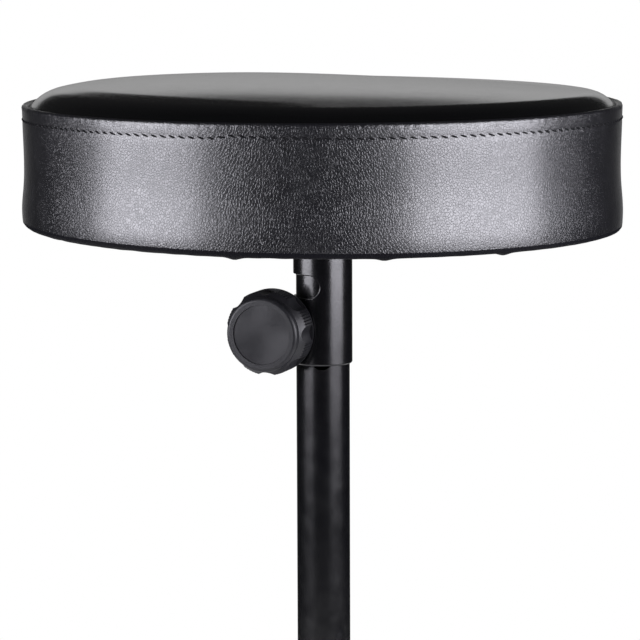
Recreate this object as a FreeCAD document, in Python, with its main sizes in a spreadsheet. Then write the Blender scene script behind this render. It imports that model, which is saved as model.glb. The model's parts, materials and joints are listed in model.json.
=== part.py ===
import FreeCAD, Part
import math
import os
import re
import Sketcher

# A drum stool: a round padded seat whose socket clamps on a straight pole, over a folding tripod.
# The origin is on the pole's axis at floor level. +Z is up, and the stool's front faces -Y.

SHEET = "Dims"
LEFT = 1
RIGHT = -1
X_AXIS = FreeCAD.Vector(1, 0, 0)
Y_AXIS = FreeCAD.Vector(0, 1, 0)
Z_AXIS = FreeCAD.Vector(0, 0, 1)

# Driving dimensions, in millimetres and degrees.
DIMENSIONS = {
    # Padded seat. Heights in the seat count from the seat's underside.
    "seat_radius": 140,
    "seat_underside": 472,
    "seam_height": 57,
    "shoulder_radius": 124,
    "shoulder_height": 64,
    "shoulder_bend": 17.5,
    "crown_height": 68,
    "cover_thick": 1.2,
    "lower_round": 5,
    "upper_round": 3,
    "side_draw": 1,
    "hem_radius": 110,
    "board_thick": 12,
    "cloth_thick": 0.8,
    "cloth_radius": 124,
    "cloth_gap": 0.8,
    # Staples that hold the cover's hem and the dust cloth to the board.
    "staple_count": 24,
    "staple_radius": 117,
    "staple_span": 9,
    "staple_wire": 0.7,
    "staple_width": 1.2,
    "staple_leg": 8,
    # Steel plate under the board, with its bolts, washers and tee nuts.
    "plate_side": 92,
    "plate_corner": 11,
    "plate_thick": 2.5,
    "bolt_place": 34,
    "bolt_count": 4,
    "bolt_diameter": 6,
    "bolt_clear": 0.4,
    "bolt_length": 13,
    "hex_flats": 10,
    "hex_height": 4,
    "washer_radius": 6.2,
    "washer_thick": 1.5,
    "tee_flange": 9.5,
    "tee_flange_thick": 1.5,
    "tee_barrel": 4,
    "tee_length": 9,
    "thread_gap": 0.06,
    # Clamping tubes: the seat's socket and the base's upright.
    "tube_radius": 14,
    "tube_bore": 12.8,
    "rim_round": 0.9,
    "rim_drop": 66,
    "weld_leg": 3,
    "slot_height": 37.5,
    "slot_width": 10.6,
    "slot_edge": 0.5,
    "slot_sweep": 204,
    "slit_width": 2.5,
    "lug_thick": 4,
    "lug_round": 9.5,
    "clamp_offset": 19,
    "clamp_height": 16.6,
    "clamp_bolt_reach": 21,
    "clamp_washer": 5.5,
    "seat_clamp_turn": 160,
    "base_clamp_turn": 20,
    # Knobs of the two clamps. Heights count from the face that meets the washer.
    "knob_radius": 20,
    "knob_hub_foot": 6,
    "knob_hub": 8.5,
    "knob_hub_flare": 4,
    "knob_back": 8,
    "knob_rim_top": 9.6,
    "knob_grip_top": 18.6,
    "knob_flare_top": 21.8,
    "knob_neck": 17.6,
    "knob_front": 25.4,
    "knob_face_radius": 16,
    "knob_edge_round": 1.8,
    "knob_recess_radius": 14,
    "knob_recess_depth": 1.4,
    "knob_hollow_radius": 12.5,
    "knob_hollow_floor": 11,
    "scallop_count": 8,
    "scallop_radius": 6.5,
    "scallop_centre": 24.8,
    "rib_step": 4.2,
    "rib_half": 1.4,
    "rib_depth": 0.6,
    "insert_radius": 4.75,
    "insert_length": 10,
    "cap_thick": 0.8,
    "cap_wall": 1,
    "cap_skirt": 3,
    # Pole.
    "pole_radius": 12.7,
    "pole_wall": 1.5,
    "pole_bottom": 150,
    "pole_hole_radius": 5.25,
    "pole_hole_lift": 3,
    "pole_hole_turn": 2.5,
    "plug_flange": 2,
    "plug_depth": 12,
    "plug_wall": 2,
    "plug_gap": 0.3,
    "running_gap": 0.1,
    # Base upright and the hub at its foot.
    "base_top": 268,
    "base_bottom": 34,
    "hub_height": 48,
    "hub_radius": 18.5,
    "hub_tall": 24,
    "hub_lug_thick": 8.4,
    "hub_lug_round": 6.5,
    "hub_rivet_radius": 2,
    "hub_rivet_drop": 6,
    "hub_rivet_head": 3.6,
    "hub_rivet_dome": 1.6,
    "cast_round": 1.2,
    # Folding tripod.
    "leg_count": 3,
    "leg_turn": 90,
    "pivot_radius": 27,
    "open_angle": 55,
    "link": 75.4,
    "pin_radius": 2.5,
    "pin_gap": 0.05,
    "pin_head": 4.5,
    "pin_dome": 2.2,
    "leg_length": 214,
    "leg_width": 16,
    "leg_wall": 1.5,
    "leg_depth_in": 7,
    "leg_depth_out": 11,
    "leg_shoulder": 7,
    "brace_width": 12,
    "brace_wall": 1.5,
    "brace_round": 8.5,
    "bend_round": 1.4,
    # Rubber feet.
    "foot_width": 27,
    "foot_wall": 3,
    "foot_grip": 36,
    "foot_heel": 186,
    "foot_toe": 222,
    "foot_nose": 227,
    "foot_nose_height": 7,
    "foot_round": 2.5,
    "tread_count": 3,
    "tread_depth": 1.2,
    "tread_width": 2.4,
    "tread_pitch": 9,
    # Sliding collar with its liner and wing screw.
    "collar_radius": 19,
    "collar_bore": 15.3,
    "collar_tall": 24,
    "collar_lug_thick": 12.4,
    "collar_lug_round": 7,
    "boss_radius": 8,
    "boss_reach": 25,
    "wing_bolt_radius": 4,
    "wing_bolt_end": 39,
    "tip_length": 3,
    "tip_gap": 0.3,
    "wing_start": 27,
    "wing_hub": 7,
    "wing_hub_tall": 14,
    "wing_span": 20,
    "wing_tall": 19,
    "wing_thick": 5,
    "wing_taper": 1,
    "wing_inset": 2,
    "wing_sweep": 3,
    "wing_tip_round": 6,
    "wing_edge": 1.2,
}

# Sizes that follow from the driving ones, as formulas.
BOARD_TOP = "(cover_thick + board_thick)"
BOARD_RADIUS = "(seat_radius - lower_round)"
SEAM_RADIUS = "(seat_radius - upper_round)"
SIDE_TOP = "(seam_height - upper_round)"
SIDE_HALF = f"(({SIDE_TOP} - lower_round) / 2)"
SIDE_BEND = f"(({SIDE_HALF} ^ 2 + side_draw ^ 2) / (2 * side_draw))"
CROWN_RISE = "(crown_height - shoulder_height)"
CROWN_BEND = f"((shoulder_radius ^ 2 + {CROWN_RISE} ^ 2) / (2 * {CROWN_RISE}))"
INNER_RADIUS = "(seat_radius - cover_thick)"
PLATE_TOP = "(cover_thick - cloth_thick)"
PLATE_BOTTOM = f"({PLATE_TOP} - plate_thick)"
BOLT_RADIUS = "(bolt_diameter / 2)"
BOLT_HOLE = f"({BOLT_RADIUS} + bolt_clear)"
SEAT_RIM = "(seat_underside - rim_drop)"
SOCKET_LENGTH = f"(rim_drop + {PLATE_BOTTOM})"
UPRIGHT_LENGTH = "(base_top - base_bottom)"
LUG_FACE = "(slit_width / 2 + lug_thick)"
KNOB_FACE = f"({LUG_FACE} + washer_thick)"
POLE_BORE = "(pole_radius - pole_wall)"
POLE_TOP = f"(seat_underside + {PLATE_BOTTOM} - plug_gap - plug_flange)"
COLLAR_HEIGHT = "(hub_height + 2 * link * cos(open_angle))"
MID_RADIUS = "(pivot_radius + link * sin(open_angle))"
MID_HEIGHT = "(hub_height + link * cos(open_angle))"
PIN_HOLE = "(pin_radius + pin_gap)"
WEB_FACE = "(leg_depth_out - leg_wall)"

doc = FreeCAD.newDocument("drum_stool")
sub_parts = []


# Formulas and the sheet that feeds them.

def make_sheet():
    """Fill the spreadsheet with the driving dimensions, one named cell each."""
    sheet = doc.addObject("Spreadsheet::Sheet", SHEET)
    for row, (alias, size) in enumerate(DIMENSIONS.items(), start=1):
        sheet.set(f"A{row}", alias)
        sheet.set(f"B{row}", str(size))
        sheet.setAlias(f"B{row}", alias)
    doc.recompute()


def formula(text):
    """Point each dimension's word in a formula at its cell."""
    return re.sub(r"[a-z_]+", lambda word: cell(word.group()), text)


def cell(word):
    """Return the sheet's name for a dimension, and any other word as it is."""
    return f"{SHEET}.{word}" if word in DIMENSIONS else word


def number(text):
    """Work out a formula's value."""
    return float(doc.getObject(SHEET).evalExpression(formula(text)))


def bind(item, property_name, text):
    """Bind a property to a formula."""
    item.setExpression(property_name, formula(text))


def add_sub_part(item, placement=None):
    """Keep a finished piece for export, at its place."""
    if placement is not None:
        item.Placement = placement
    sub_parts.append(item)
    return item


# Sketches and the features made from them.

def new_body(label):
    """Start a piece that is made from sketches."""
    body = doc.addObject("PartDesign::Body", label)
    body.Label = label
    body.AllowCompound = True
    return body


def origin_feature(body, role):
    """Find one of a body's own planes or axes."""
    return next(item for item in body.Origin.OriginFeatures if item.Role == role)


def sketch_on(body, plane, offset=None):
    """Attach a new sketch to one of the body's planes, lifted along its normal by a formula."""
    sketch = body.newObject("Sketcher::SketchObject", f"{body.Name}_sketch")
    sketch.AttachmentSupport = (origin_feature(body, plane), [""])
    sketch.MapMode = "FlatFace"
    if offset is not None:
        bind(sketch, "AttachmentOffset.Base.z", offset)
    return sketch


def fix(sketch, kind, text, *where):
    """Add a constraint whose size is a formula."""
    index = sketch.addConstraint(Sketcher.Constraint(kind, *where, number(text)))
    sketch.setExpression(f"Constraints[{index}]", formula(text))


def fix_point(sketch, geometry, end, x, y):
    """Hold a point of a sketch at two formulas."""
    for kind, text, axis in (("DistanceX", x, -2), ("DistanceY", y, -1)):
        if text == "0":
            sketch.addConstraint(Sketcher.Constraint("PointOnObject", geometry, end, axis))
        else:
            fix(sketch, kind, text, -1, 1, geometry, end)


def arc_between(start, finish, radius, turn):
    """Make the short arc between two points that turns left or right on its way."""
    chord = finish - start
    rise = math.sqrt(radius ** 2 - (chord.Length / 2) ** 2)
    sideways = FreeCAD.Vector(-chord.y, chord.x, 0).normalize()
    centre = start + chord * 0.5 + sideways * (rise * turn)
    first, last = (start, finish) if turn == LEFT else (finish, start)
    begin = math.atan2(first.y - centre.y, first.x - centre.x)
    end = math.atan2(last.y - centre.y, last.x - centre.x)
    if end < begin:
        end += 2 * math.pi
    return Part.ArcOfCircle(Part.Circle(centre, Z_AXIS, radius), begin, end)


def outline(sketch, corners):
    """Draw a closed outline through corners that are given as formulas.

    A corner (x, y) is reached by a straight line. A corner (x, y, radius, turn) is reached by an arc.
    """
    points = [FreeCAD.Vector(number(corner[0]), number(corner[1]), 0) for corner in corners]
    edges = []
    for index, corner in enumerate(corners):
        start = points[index - 1]
        if len(corner) == 2:
            geometry = sketch.addGeometry(Part.LineSegment(start, points[index]))
            edges.append((geometry, 1, 2))
            continue
        radius, turn = corner[2:]
        geometry = sketch.addGeometry(arc_between(start, points[index], number(radius), turn))
        edges.append((geometry, 1, 2) if turn == LEFT else (geometry, 2, 1))
    for index, corner in enumerate(corners):
        geometry, _, end = edges[index]
        following, begin, _ = edges[(index + 1) % len(edges)]
        sketch.addConstraint(Sketcher.Constraint("Coincident", geometry, end, following, begin))
        fix_point(sketch, geometry, end, corner[0], corner[1])
    for (geometry, _, _), corner in zip(edges, corners):
        if len(corner) == 4:
            fix(sketch, "Radius", corner[2], geometry)


def circle(sketch, radius, x="0", y="0"):
    """Draw a circle whose radius and centre are formulas."""
    centre = FreeCAD.Vector(number(x), number(y), 0)
    geometry = sketch.addGeometry(Part.Circle(centre, Z_AXIS, number(radius)))
    fix_point(sketch, geometry, 3, x, y)
    fix(sketch, "Radius", radius, geometry)


def rectangle(low_x, low_y, high_x, high_y):
    """Return a rectangle's corners."""
    return [(low_x, low_y), (high_x, low_y), (high_x, high_y), (low_x, high_y)]


def hexagon(flats, x, y):
    """Return a hexagon's corners, from its width across flats and its centre."""
    corners = []
    for step in range(6):
        reach = f"{flats} / sqrt(3)"
        corners.append((f"{x} + {reach} * cos({60 * step})", f"{y} + {reach} * sin({60 * step})"))
    return corners


def pad(body, sketch, length, symmetric=False):
    """Raise a sketch into material."""
    feature = body.newObject("PartDesign::Pad", f"{body.Name}_pad")
    feature.Profile = sketch
    feature.SideType = "Symmetric" if symmetric else "One side"
    bind(feature, "Length", length)
    doc.recompute()
    return feature


def pocket(body, sketch, length=None, symmetric=False):
    """Cut a sketch out of the body, all the way unless a length is given, and check that it cut."""
    before = body.Shape.Volume
    feature = body.newObject("PartDesign::Pocket", f"{body.Name}_pocket")
    feature.Profile = sketch
    feature.SideType = "Symmetric" if symmetric else "One side"
    if length is None:
        feature.Type = "ThroughAll"
    else:
        bind(feature, "Length", length)
    doc.recompute()
    if feature.Shape.Volume >= before:
        raise RuntimeError(f"a pocket of {body.Label} cuts nothing")
    return feature


def turn_solid(body, sketch, axis="V_Axis"):
    """Revolve a sketch by a full turn about one of its axes or edges."""
    feature = body.newObject("PartDesign::Revolution", f"{body.Name}_turned")
    feature.Profile = sketch
    feature.ReferenceAxis = (sketch, [axis])
    feature.Angle = 360
    doc.recompute()
    return feature


def repeat_round(body, features, count):
    """Repeat features evenly round the body's Z axis."""
    pattern = body.newObject("PartDesign::PolarPattern", f"{body.Name}_round")
    pattern.Originals = features
    pattern.Axis = (origin_feature(body, "Z_Axis"), [""])
    pattern.Angle = 360
    bind(pattern, "Occurrences", count)
    body.Tip = pattern
    doc.recompute()
    return pattern


def round_edges(body, radius, chosen):
    """Round the edges that a test picks."""
    base = body.Tip
    names = [f"Edge{index}" for index, edge in enumerate(base.Shape.Edges, start=1) if chosen(edge)]
    feature = body.newObject("PartDesign::Fillet", f"{body.Name}_fillet")
    feature.Base = (base, names)
    bind(feature, "Radius", radius)
    doc.recompute()
    return feature


def turned_body(label, corners):
    """Make a piece by revolving an outline about the Z axis."""
    body = new_body(label)
    sketch = sketch_on(body, "XZ_Plane")
    outline(sketch, corners)
    turn_solid(body, sketch)
    return body


# Primitives and the booleans that join them.

def cylinder(name, radius, length, placement=None):
    """Make a cylinder along its own Z axis."""
    item = doc.addObject("Part::Cylinder", name)
    bind(item, "Radius", radius)
    bind(item, "Height", length)
    if placement is not None:
        item.Placement = placement
    return item


def box(name, low, size):
    """Make a box from its low corner and its size, as formulas."""
    item = doc.addObject("Part::Box", name)
    for property_name, text in zip(("Length", "Width", "Height"), size):
        bind(item, property_name, text)
    for axis, text in zip("xyz", low):
        bind(item, f"Placement.Base.{axis}", text)
    return item


def join(label, *items):
    """Fuse pieces into one."""
    result = doc.addObject("Part::MultiFuse", label)
    result.Shapes = list(items)
    return result


def cut(label, base, *tools):
    """Cut tools out of a piece."""
    result = doc.addObject("Part::Cut", label)
    result.Base = base
    result.Tool = tools[0] if len(tools) == 1 else join(f"{label}_tools", *tools)
    return result


def spot(x="0", y="0", z="0", axis=Z_AXIS, angle=0):
    """Return a placement from formulas and a turn about an axis."""
    return FreeCAD.Placement(FreeCAD.Vector(number(x), number(y), number(z)), FreeCAD.Rotation(axis, angle))


def spun(angle):
    """Return a turn about the pole's axis."""
    return spot(angle=angle)


# Seat.

def seat_place():
    """Return the place of the seat's underside."""
    return spot(z="seat_underside")


def top_panel():
    """Crowned panel of the cover: a broad crown with a rounder shoulder down to the seam."""
    body = turned_body("top_panel", [
        ("0", "crown_height - cover_thick"),
        ("shoulder_radius", "shoulder_height - cover_thick", CROWN_BEND, RIGHT),
        (SEAM_RADIUS, "seam_height - cover_thick", "shoulder_bend", RIGHT),
        (SEAM_RADIUS, "seam_height"),
        ("shoulder_radius", "shoulder_height", "shoulder_bend", LEFT),
        ("0", "crown_height", CROWN_BEND, LEFT),
    ])
    add_sub_part(body, seat_place())


def side_band():
    """Side strip of the cover, drawn in at mid height and turned under the board as a hem."""
    body = turned_body("side_band", [
        ("hem_radius", "0"),
        (BOARD_RADIUS, "0"),
        ("seat_radius", "lower_round", "lower_round", LEFT),
        ("seat_radius", SIDE_TOP, SIDE_BEND, RIGHT),
        (SEAM_RADIUS, "seam_height", "upper_round", LEFT),
        (SEAM_RADIUS, "seam_height - cover_thick"),
        (INNER_RADIUS, SIDE_TOP, "upper_round - cover_thick", RIGHT),
        (INNER_RADIUS, "lower_round", SIDE_BEND, LEFT),
        (BOARD_RADIUS, "cover_thick", "lower_round - cover_thick", RIGHT),
        ("hem_radius", "cover_thick"),
    ])
    add_sub_part(body, seat_place())


def foam_pad():
    """Foam on the board and round its edge, filling the cover."""
    body = turned_body("foam_pad", [
        ("0", BOARD_TOP),
        (BOARD_RADIUS, BOARD_TOP),
        (BOARD_RADIUS, "cover_thick"),
        (INNER_RADIUS, "lower_round", "lower_round - cover_thick", LEFT),
        (INNER_RADIUS, SIDE_TOP, SIDE_BEND, RIGHT),
        (SEAM_RADIUS, "seam_height - cover_thick", "upper_round - cover_thick", LEFT),
        ("shoulder_radius", "shoulder_height - cover_thick", "shoulder_bend", LEFT),
        ("0", "crown_height - cover_thick", CROWN_BEND, LEFT),
    ])
    add_sub_part(body, seat_place())


def bolt_circle(body, plane_offset, radius):
    """Sketch a circle at the first plate bolt's place."""
    sketch = sketch_on(body, "XY_Plane", plane_offset)
    circle(sketch, radius, "bolt_place", "bolt_place")
    return sketch


def seat_board():
    """Plywood disc, drilled and counterbored for the tee nuts."""
    body = new_body("seat_board")
    disc = sketch_on(body, "XY_Plane", "cover_thick")
    circle(disc, BOARD_RADIUS)
    pad(body, disc, "board_thick")
    hole = pocket(body, bolt_circle(body, BOARD_TOP, "tee_barrel + thread_gap"))
    sunk = pocket(body, bolt_circle(body, BOARD_TOP, "tee_flange + thread_gap"), "tee_flange_thick")
    repeat_round(body, [hole, sunk], "bolt_count")
    add_sub_part(body, seat_place())


def bottom_cloth():
    """Dust cloth: flat on the board inside the hem, and lapped over the hem at its edge."""
    lap = "hem_radius - cloth_gap"
    body = turned_body("bottom_cloth", [
        ("0", PLATE_TOP),
        (lap, PLATE_TOP),
        (lap, "-cloth_thick"),
        ("cloth_radius", "-cloth_thick"),
        ("cloth_radius", "0"),
        ("hem_radius", "0"),
        ("hem_radius", "cover_thick"),
        ("0", "cover_thick"),
    ])
    hole = pocket(body, bolt_circle(body, "cover_thick", BOLT_HOLE))
    repeat_round(body, [hole], "bolt_count")
    add_sub_part(body, seat_place())


def staples():
    """Ring of wire staples through the cloth and the hem into the board."""
    body = new_body("staples")
    near = "staple_radius - staple_span / 2"
    far = "staple_radius + staple_span / 2"
    low = "-cloth_thick - staple_wire"
    tip = "staple_leg - cloth_thick"
    sketch = sketch_on(body, "XZ_Plane")
    outline(sketch, [
        (near, low),
        (far, low),
        (far, tip),
        (f"{far} - staple_wire", tip),
        (f"{far} - staple_wire", "-cloth_thick"),
        (f"{near} + staple_wire", "-cloth_thick"),
        (f"{near} + staple_wire", tip),
        (near, tip),
    ])
    staple = pad(body, sketch, "staple_width", symmetric=True)
    repeat_round(body, [staple], "staple_count")
    add_sub_part(body, seat_place())


def tee_nuts():
    """Flanged nuts let into the board's top."""
    body = new_body("tee_nuts")
    features = []
    for level, radius, length in (
        (f"{BOARD_TOP} - tee_flange_thick", "tee_flange", "tee_flange_thick"),
        (f"{BOARD_TOP} - tee_flange_thick - tee_length", "tee_barrel", "tee_length"),
    ):
        sketch = bolt_circle(body, level, radius)
        circle(sketch, f"{BOLT_RADIUS} + thread_gap", "bolt_place", "bolt_place")
        features.append(pad(body, sketch, length))
    repeat_round(body, features, "bolt_count")
    add_sub_part(body, seat_place())


def seat_plate():
    """Square steel plate with round corners, bolted under the board."""
    body = new_body("seat_plate")
    half = "plate_side / 2"
    inner = "(plate_side / 2 - plate_corner)"
    sketch = sketch_on(body, "XY_Plane", PLATE_BOTTOM)
    outline(sketch, [
        (inner, f"-{half}"),
        (half, f"-{inner}", "plate_corner", LEFT),
        (half, inner),
        (inner, half, "plate_corner", LEFT),
        (f"-{inner}", half),
        (f"-{half}", inner, "plate_corner", LEFT),
        (f"-{half}", f"-{inner}"),
        (f"-{inner}", f"-{half}", "plate_corner", LEFT),
    ])
    pad(body, sketch, "plate_thick")
    hole = pocket(body, bolt_circle(body, PLATE_TOP, BOLT_HOLE))
    repeat_round(body, [hole], "bolt_count")
    add_sub_part(body, seat_place())


def plate_washers():
    """Flat washers under the plate bolts' heads."""
    body = new_body("plate_washers")
    sketch = bolt_circle(body, f"{PLATE_BOTTOM} - washer_thick", "washer_radius")
    circle(sketch, BOLT_HOLE, "bolt_place", "bolt_place")
    washer = pad(body, sketch, "washer_thick")
    repeat_round(body, [washer], "bolt_count")
    add_sub_part(body, seat_place())


def plate_bolts():
    """Hexagon bolts from the plate up into the tee nuts."""
    body = new_body("plate_bolts")
    under_head = f"{PLATE_BOTTOM} - washer_thick"
    sketch = sketch_on(body, "XY_Plane", f"{under_head} - hex_height")
    outline(sketch, hexagon("hex_flats", "bolt_place", "bolt_place"))
    head = pad(body, sketch, "hex_height")
    shank = pad(body, bolt_circle(body, under_head, BOLT_RADIUS), "bolt_length")
    repeat_round(body, [head, shank], "bolt_count")
    add_sub_part(body, seat_place())


# Split clamps: a slotted and slit tube, two lugs, a bolt, a washer and a knob.
# A clamp's own frame has its origin at the tube's rim, +X through the slit and +Z into the tube.

def clamp_place(turn, rim, inverted):
    """Return the place of a clamp's frame."""
    rotation = FreeCAD.Rotation(Z_AXIS, number(turn))
    if inverted:
        rotation = rotation * FreeCAD.Rotation(X_AXIS, 180)
    return FreeCAD.Placement(FreeCAD.Vector(0, 0, number(rim)), rotation)


def bolt_line(start):
    """Return the place, in the clamp's frame, of a piece on the clamp bolt's axis."""
    return spot("clamp_offset", start, "clamp_height", X_AXIS, -90)


def clamp_cuts(name):
    """Return the tools that open a clamp's tube: the bore, the cross slot and the slit."""
    bore = cylinder(f"{name}_bore", "tube_bore", "base_top")
    end_turn = "(asin(slot_width / 2 / tube_radius) / 1 deg)"
    half = f"(slot_sweep / 2 - {end_turn})"
    low = "slot_height - slot_width / 2"
    slot = cylinder(f"{name}_slot", "2 * tube_radius", "slot_width", spot(z=low, angle=-number(half)))
    bind(slot, "Angle", f"2 * {half}")
    tools = [bore, slot]
    for side in (LEFT, RIGHT):
        aim = FreeCAD.Rotation(Z_AXIS, side * number(half)) * FreeCAD.Rotation(Y_AXIS, 90)
        end = cylinder(f"{name}_slot_end", "slot_width / 2", "2 * tube_radius")
        end.Placement = FreeCAD.Placement(FreeCAD.Vector(0, 0, number("slot_height")), aim)
        tools.append(end)
    tools.append(slit_box(name))
    return tools


def slit_box(name):
    """Return the tool that cuts the slit from the rim up to the cross slot."""
    return box(f"{name}_slit", ("0", "-slit_width / 2", "-slit_width"),
               ("3 * tube_radius", "slit_width", "slot_height + slit_width"))


def is_slot_edge(edge):
    """Tell whether an edge runs round the cross slot on the tube's outside."""
    radius = number("tube_radius")
    level = number("slot_height")
    reach = number("slot_width / 2 + slot_edge / 2")
    first, last = edge.ParameterRange
    points = [edge.valueAt(at) for at in (first, (first + last) / 2, last)]
    return all(
        math.isclose(math.hypot(point.x, point.y), radius, abs_tol=1e-4) and abs(point.z - level) < reach
        for point in points
    )


def eased_tube(label, blank, tools):
    """Return a clamp's tube with its cuts made and the cross slot's outer edge rounded."""
    tube = cut(f"{label}_cut", blank, *tools)
    doc.recompute()
    radius = number("slot_edge")
    eased = doc.addObject("Part::Fillet", label)
    eased.Base = tube
    eased.Edges = [
        (index, radius, radius) for index, edge in enumerate(tube.Shape.Edges, start=1) if is_slot_edge(edge)
    ]
    return eased


def rounded_tube(name, length):
    """Return a plain tube's outer solid with its rim rounded."""
    blank = turned_body(f"{name}_blank", [
        ("0", "0"),
        ("tube_radius - rim_round", "0"),
        ("tube_radius", "rim_round", "rim_round", LEFT),
        ("tube_radius", length),
        ("0", length),
    ])
    return blank


def socket_sleeve():
    """Seat's socket: a slit tube with the weld that joins it to the plate."""
    blank = rounded_tube("socket_sleeve", SOCKET_LENGTH)
    weld = doc.addObject("Part::Cone", "socket_weld")
    bind(weld, "Radius1", "tube_radius")
    bind(weld, "Radius2", "tube_radius + weld_leg")
    bind(weld, "Height", "weld_leg")
    weld.Placement = spot(z=f"{SOCKET_LENGTH} - weld_leg")
    piece = eased_tube("socket_sleeve", join("socket_welded", blank, weld), clamp_cuts("socket"))
    add_sub_part(piece, clamp_place("seat_clamp_turn", SEAT_RIM, False))


def base_tube():
    """Base's upright: the same slit clamp at its top, and rivet holes at its foot."""
    blank = rounded_tube("base_tube", UPRIGHT_LENGTH)
    tools = clamp_cuts("upright")
    place = clamp_place("base_clamp_turn", "base_top", True)
    for azimuth in leg_azimuths():
        hole = cylinder("upright_rivet_hole", "hub_rivet_radius + pin_gap", "2 * tube_radius")
        hole.Placement = place.inverse() * spun(azimuth + 180) * hub_rivet_line("0")
        tools.append(hole)
    add_sub_part(eased_tube("base_tube", blank, tools), place)


def clamp_lugs(label, place):
    """Pair of lugs welded beside the slit, drilled for the clamp bolt."""
    low = "clamp_height - lug_round"
    block = box(f"{label}_block", ("0", f"-{LUG_FACE}", low),
                ("clamp_offset", f"2 * {LUG_FACE}", "2 * lug_round"))
    nose = cylinder(f"{label}_nose", "lug_round", f"2 * {LUG_FACE}", bolt_line(f"-{LUG_FACE}"))
    tube = cylinder(f"{label}_tube", "tube_radius", "base_top")
    hole = cylinder(f"{label}_hole", BOLT_HOLE, f"4 * {LUG_FACE}", bolt_line(f"-2 * {LUG_FACE}"))
    piece = cut(label, join(f"{label}_solid", block, nose), tube, hole, slit_box(label))
    add_sub_part(piece, place)


def clamp_bolt(label, place):
    """Hexagon bolt across the lugs, threaded into the knob."""
    head = doc.addObject("Part::Prism", f"{label}_head")
    head.Polygon = 6
    bind(head, "Circumradius", "hex_flats / sqrt(3)")
    bind(head, "Height", "hex_height")
    head.Placement = bolt_line(f"-{LUG_FACE} - hex_height")
    length = f"{LUG_FACE} + clamp_bolt_reach"
    shank = cylinder(f"{label}_shank", BOLT_RADIUS, length, bolt_line(f"-{LUG_FACE}"))
    add_sub_part(join(label, head, shank), place)


def clamp_washer(label, place):
    """Flat washer between the outer lug and the knob."""
    disc = cylinder(f"{label}_disc", "clamp_washer", "washer_thick", bolt_line(LUG_FACE))
    hole = cylinder(f"{label}_hole", f"{BOLT_RADIUS} + running_gap", "washer_thick", bolt_line(LUG_FACE))
    add_sub_part(cut(label, disc, hole), place)


def grip_cuts(body):
    """Sketch one scallop of the knob's grip and the fine grooves of the land beside it."""
    sketch = sketch_on(body, "XY_Plane", "knob_front")
    circle(sketch, "scallop_radius", "scallop_centre")
    land = "(180 / scallop_count)"
    for step in (-2, -1, 0, 1, 2):
        middle = f"({land} + {step} * rib_step)"
        outside = "(knob_radius + rib_depth)"
        inside = "(knob_radius - rib_depth)"
        outline(sketch, [
            (f"{outside} * cos({middle} - rib_half)", f"{outside} * sin({middle} - rib_half)"),
            (f"{outside} * cos({middle} + rib_half)", f"{outside} * sin({middle} + rib_half)"),
            (f"{inside} * cos({middle})", f"{inside} * sin({middle})"),
        ])
    return sketch


def knob_body(label, place):
    """Moulded knob: a hub, a scalloped and ribbed grip that narrows forward, and a hollow front."""
    recess = "(knob_front - knob_recess_depth)"
    body = turned_body(label, [
        ("insert_radius", "0"),
        ("knob_hub_foot", "0"),
        ("knob_hub", "knob_hub_flare"),
        ("knob_hub", "knob_back"),
        ("knob_radius - rim_round", "knob_back"),
        ("knob_radius", "knob_back + rim_round", "rim_round", LEFT),
        ("knob_radius", "knob_grip_top"),
        ("knob_neck", "knob_flare_top"),
        ("knob_neck", "knob_front - knob_edge_round"),
        ("knob_face_radius", "knob_front", "knob_edge_round", LEFT),
        ("knob_recess_radius", "knob_front"),
        ("knob_recess_radius", recess),
        ("knob_hollow_radius", recess),
        ("knob_hollow_radius", "knob_hollow_floor"),
        ("insert_radius", "knob_hollow_floor"),
    ])
    grip = pocket(body, grip_cuts(body), "knob_front - knob_rim_top")
    repeat_round(body, [grip], "scallop_count")
    add_sub_part(body, place * bolt_line(KNOB_FACE))


def knob_insert(label, place):
    """Threaded brass bush moulded into the knob's hub."""
    along = bolt_line(KNOB_FACE)
    bush = cylinder(f"{label}_bush", "insert_radius", "insert_length", along)
    thread = cylinder(f"{label}_thread", f"{BOLT_RADIUS} + thread_gap", "insert_length", along)
    add_sub_part(cut(label, bush, thread), place)


def knob_cap(label, place):
    """Flat cap in the knob's front recess, with the skirt that holds it."""
    seat = "(knob_front - knob_recess_depth)"
    skirt = "(knob_hollow_radius - running_gap)"
    body = turned_body(label, [
        ("0", seat),
        (f"{skirt} - cap_wall", seat),
        (f"{skirt} - cap_wall", f"{seat} - cap_skirt"),
        (skirt, f"{seat} - cap_skirt"),
        (skirt, seat),
        ("knob_recess_radius - running_gap", seat),
        ("knob_recess_radius - running_gap", f"{seat} + cap_thick"),
        ("0", f"{seat} + cap_thick"),
    ])
    add_sub_part(body, place * bolt_line(KNOB_FACE))


def clamp(name, place):
    """Build the pieces of one clamp round its tube."""
    clamp_lugs(f"{name}_clamp_lugs", place)
    clamp_bolt(f"{name}_clamp_bolt", place)
    clamp_washer(f"{name}_clamp_washer", place)
    knob_body(f"{name}_knob", place)
    knob_insert(f"{name}_knob_insert", place)
    knob_cap(f"{name}_knob_cap", place)


# Pole.

def seat_pole():
    """Straight steel tube with a cross hole just under the socket."""
    height = f"({POLE_TOP} - pole_bottom)"
    tube = cylinder("pole_outside", "pole_radius", height, spot(z="pole_bottom"))
    bore = cylinder("pole_inside", POLE_BORE, height, spot(z="pole_bottom"))
    aim = FreeCAD.Rotation(Z_AXIS, -number("pole_hole_turn")) * FreeCAD.Rotation(X_AXIS, 90)
    hole = cylinder("pole_hole", "pole_hole_radius", "4 * pole_radius")
    start = aim.multVec(Z_AXIS) * -number("2 * pole_radius")
    start.z += number(f"{SEAT_RIM} + pole_hole_lift")
    hole.Placement = FreeCAD.Placement(start, aim)
    add_sub_part(cut("seat_pole", tube, bore, hole))


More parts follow.
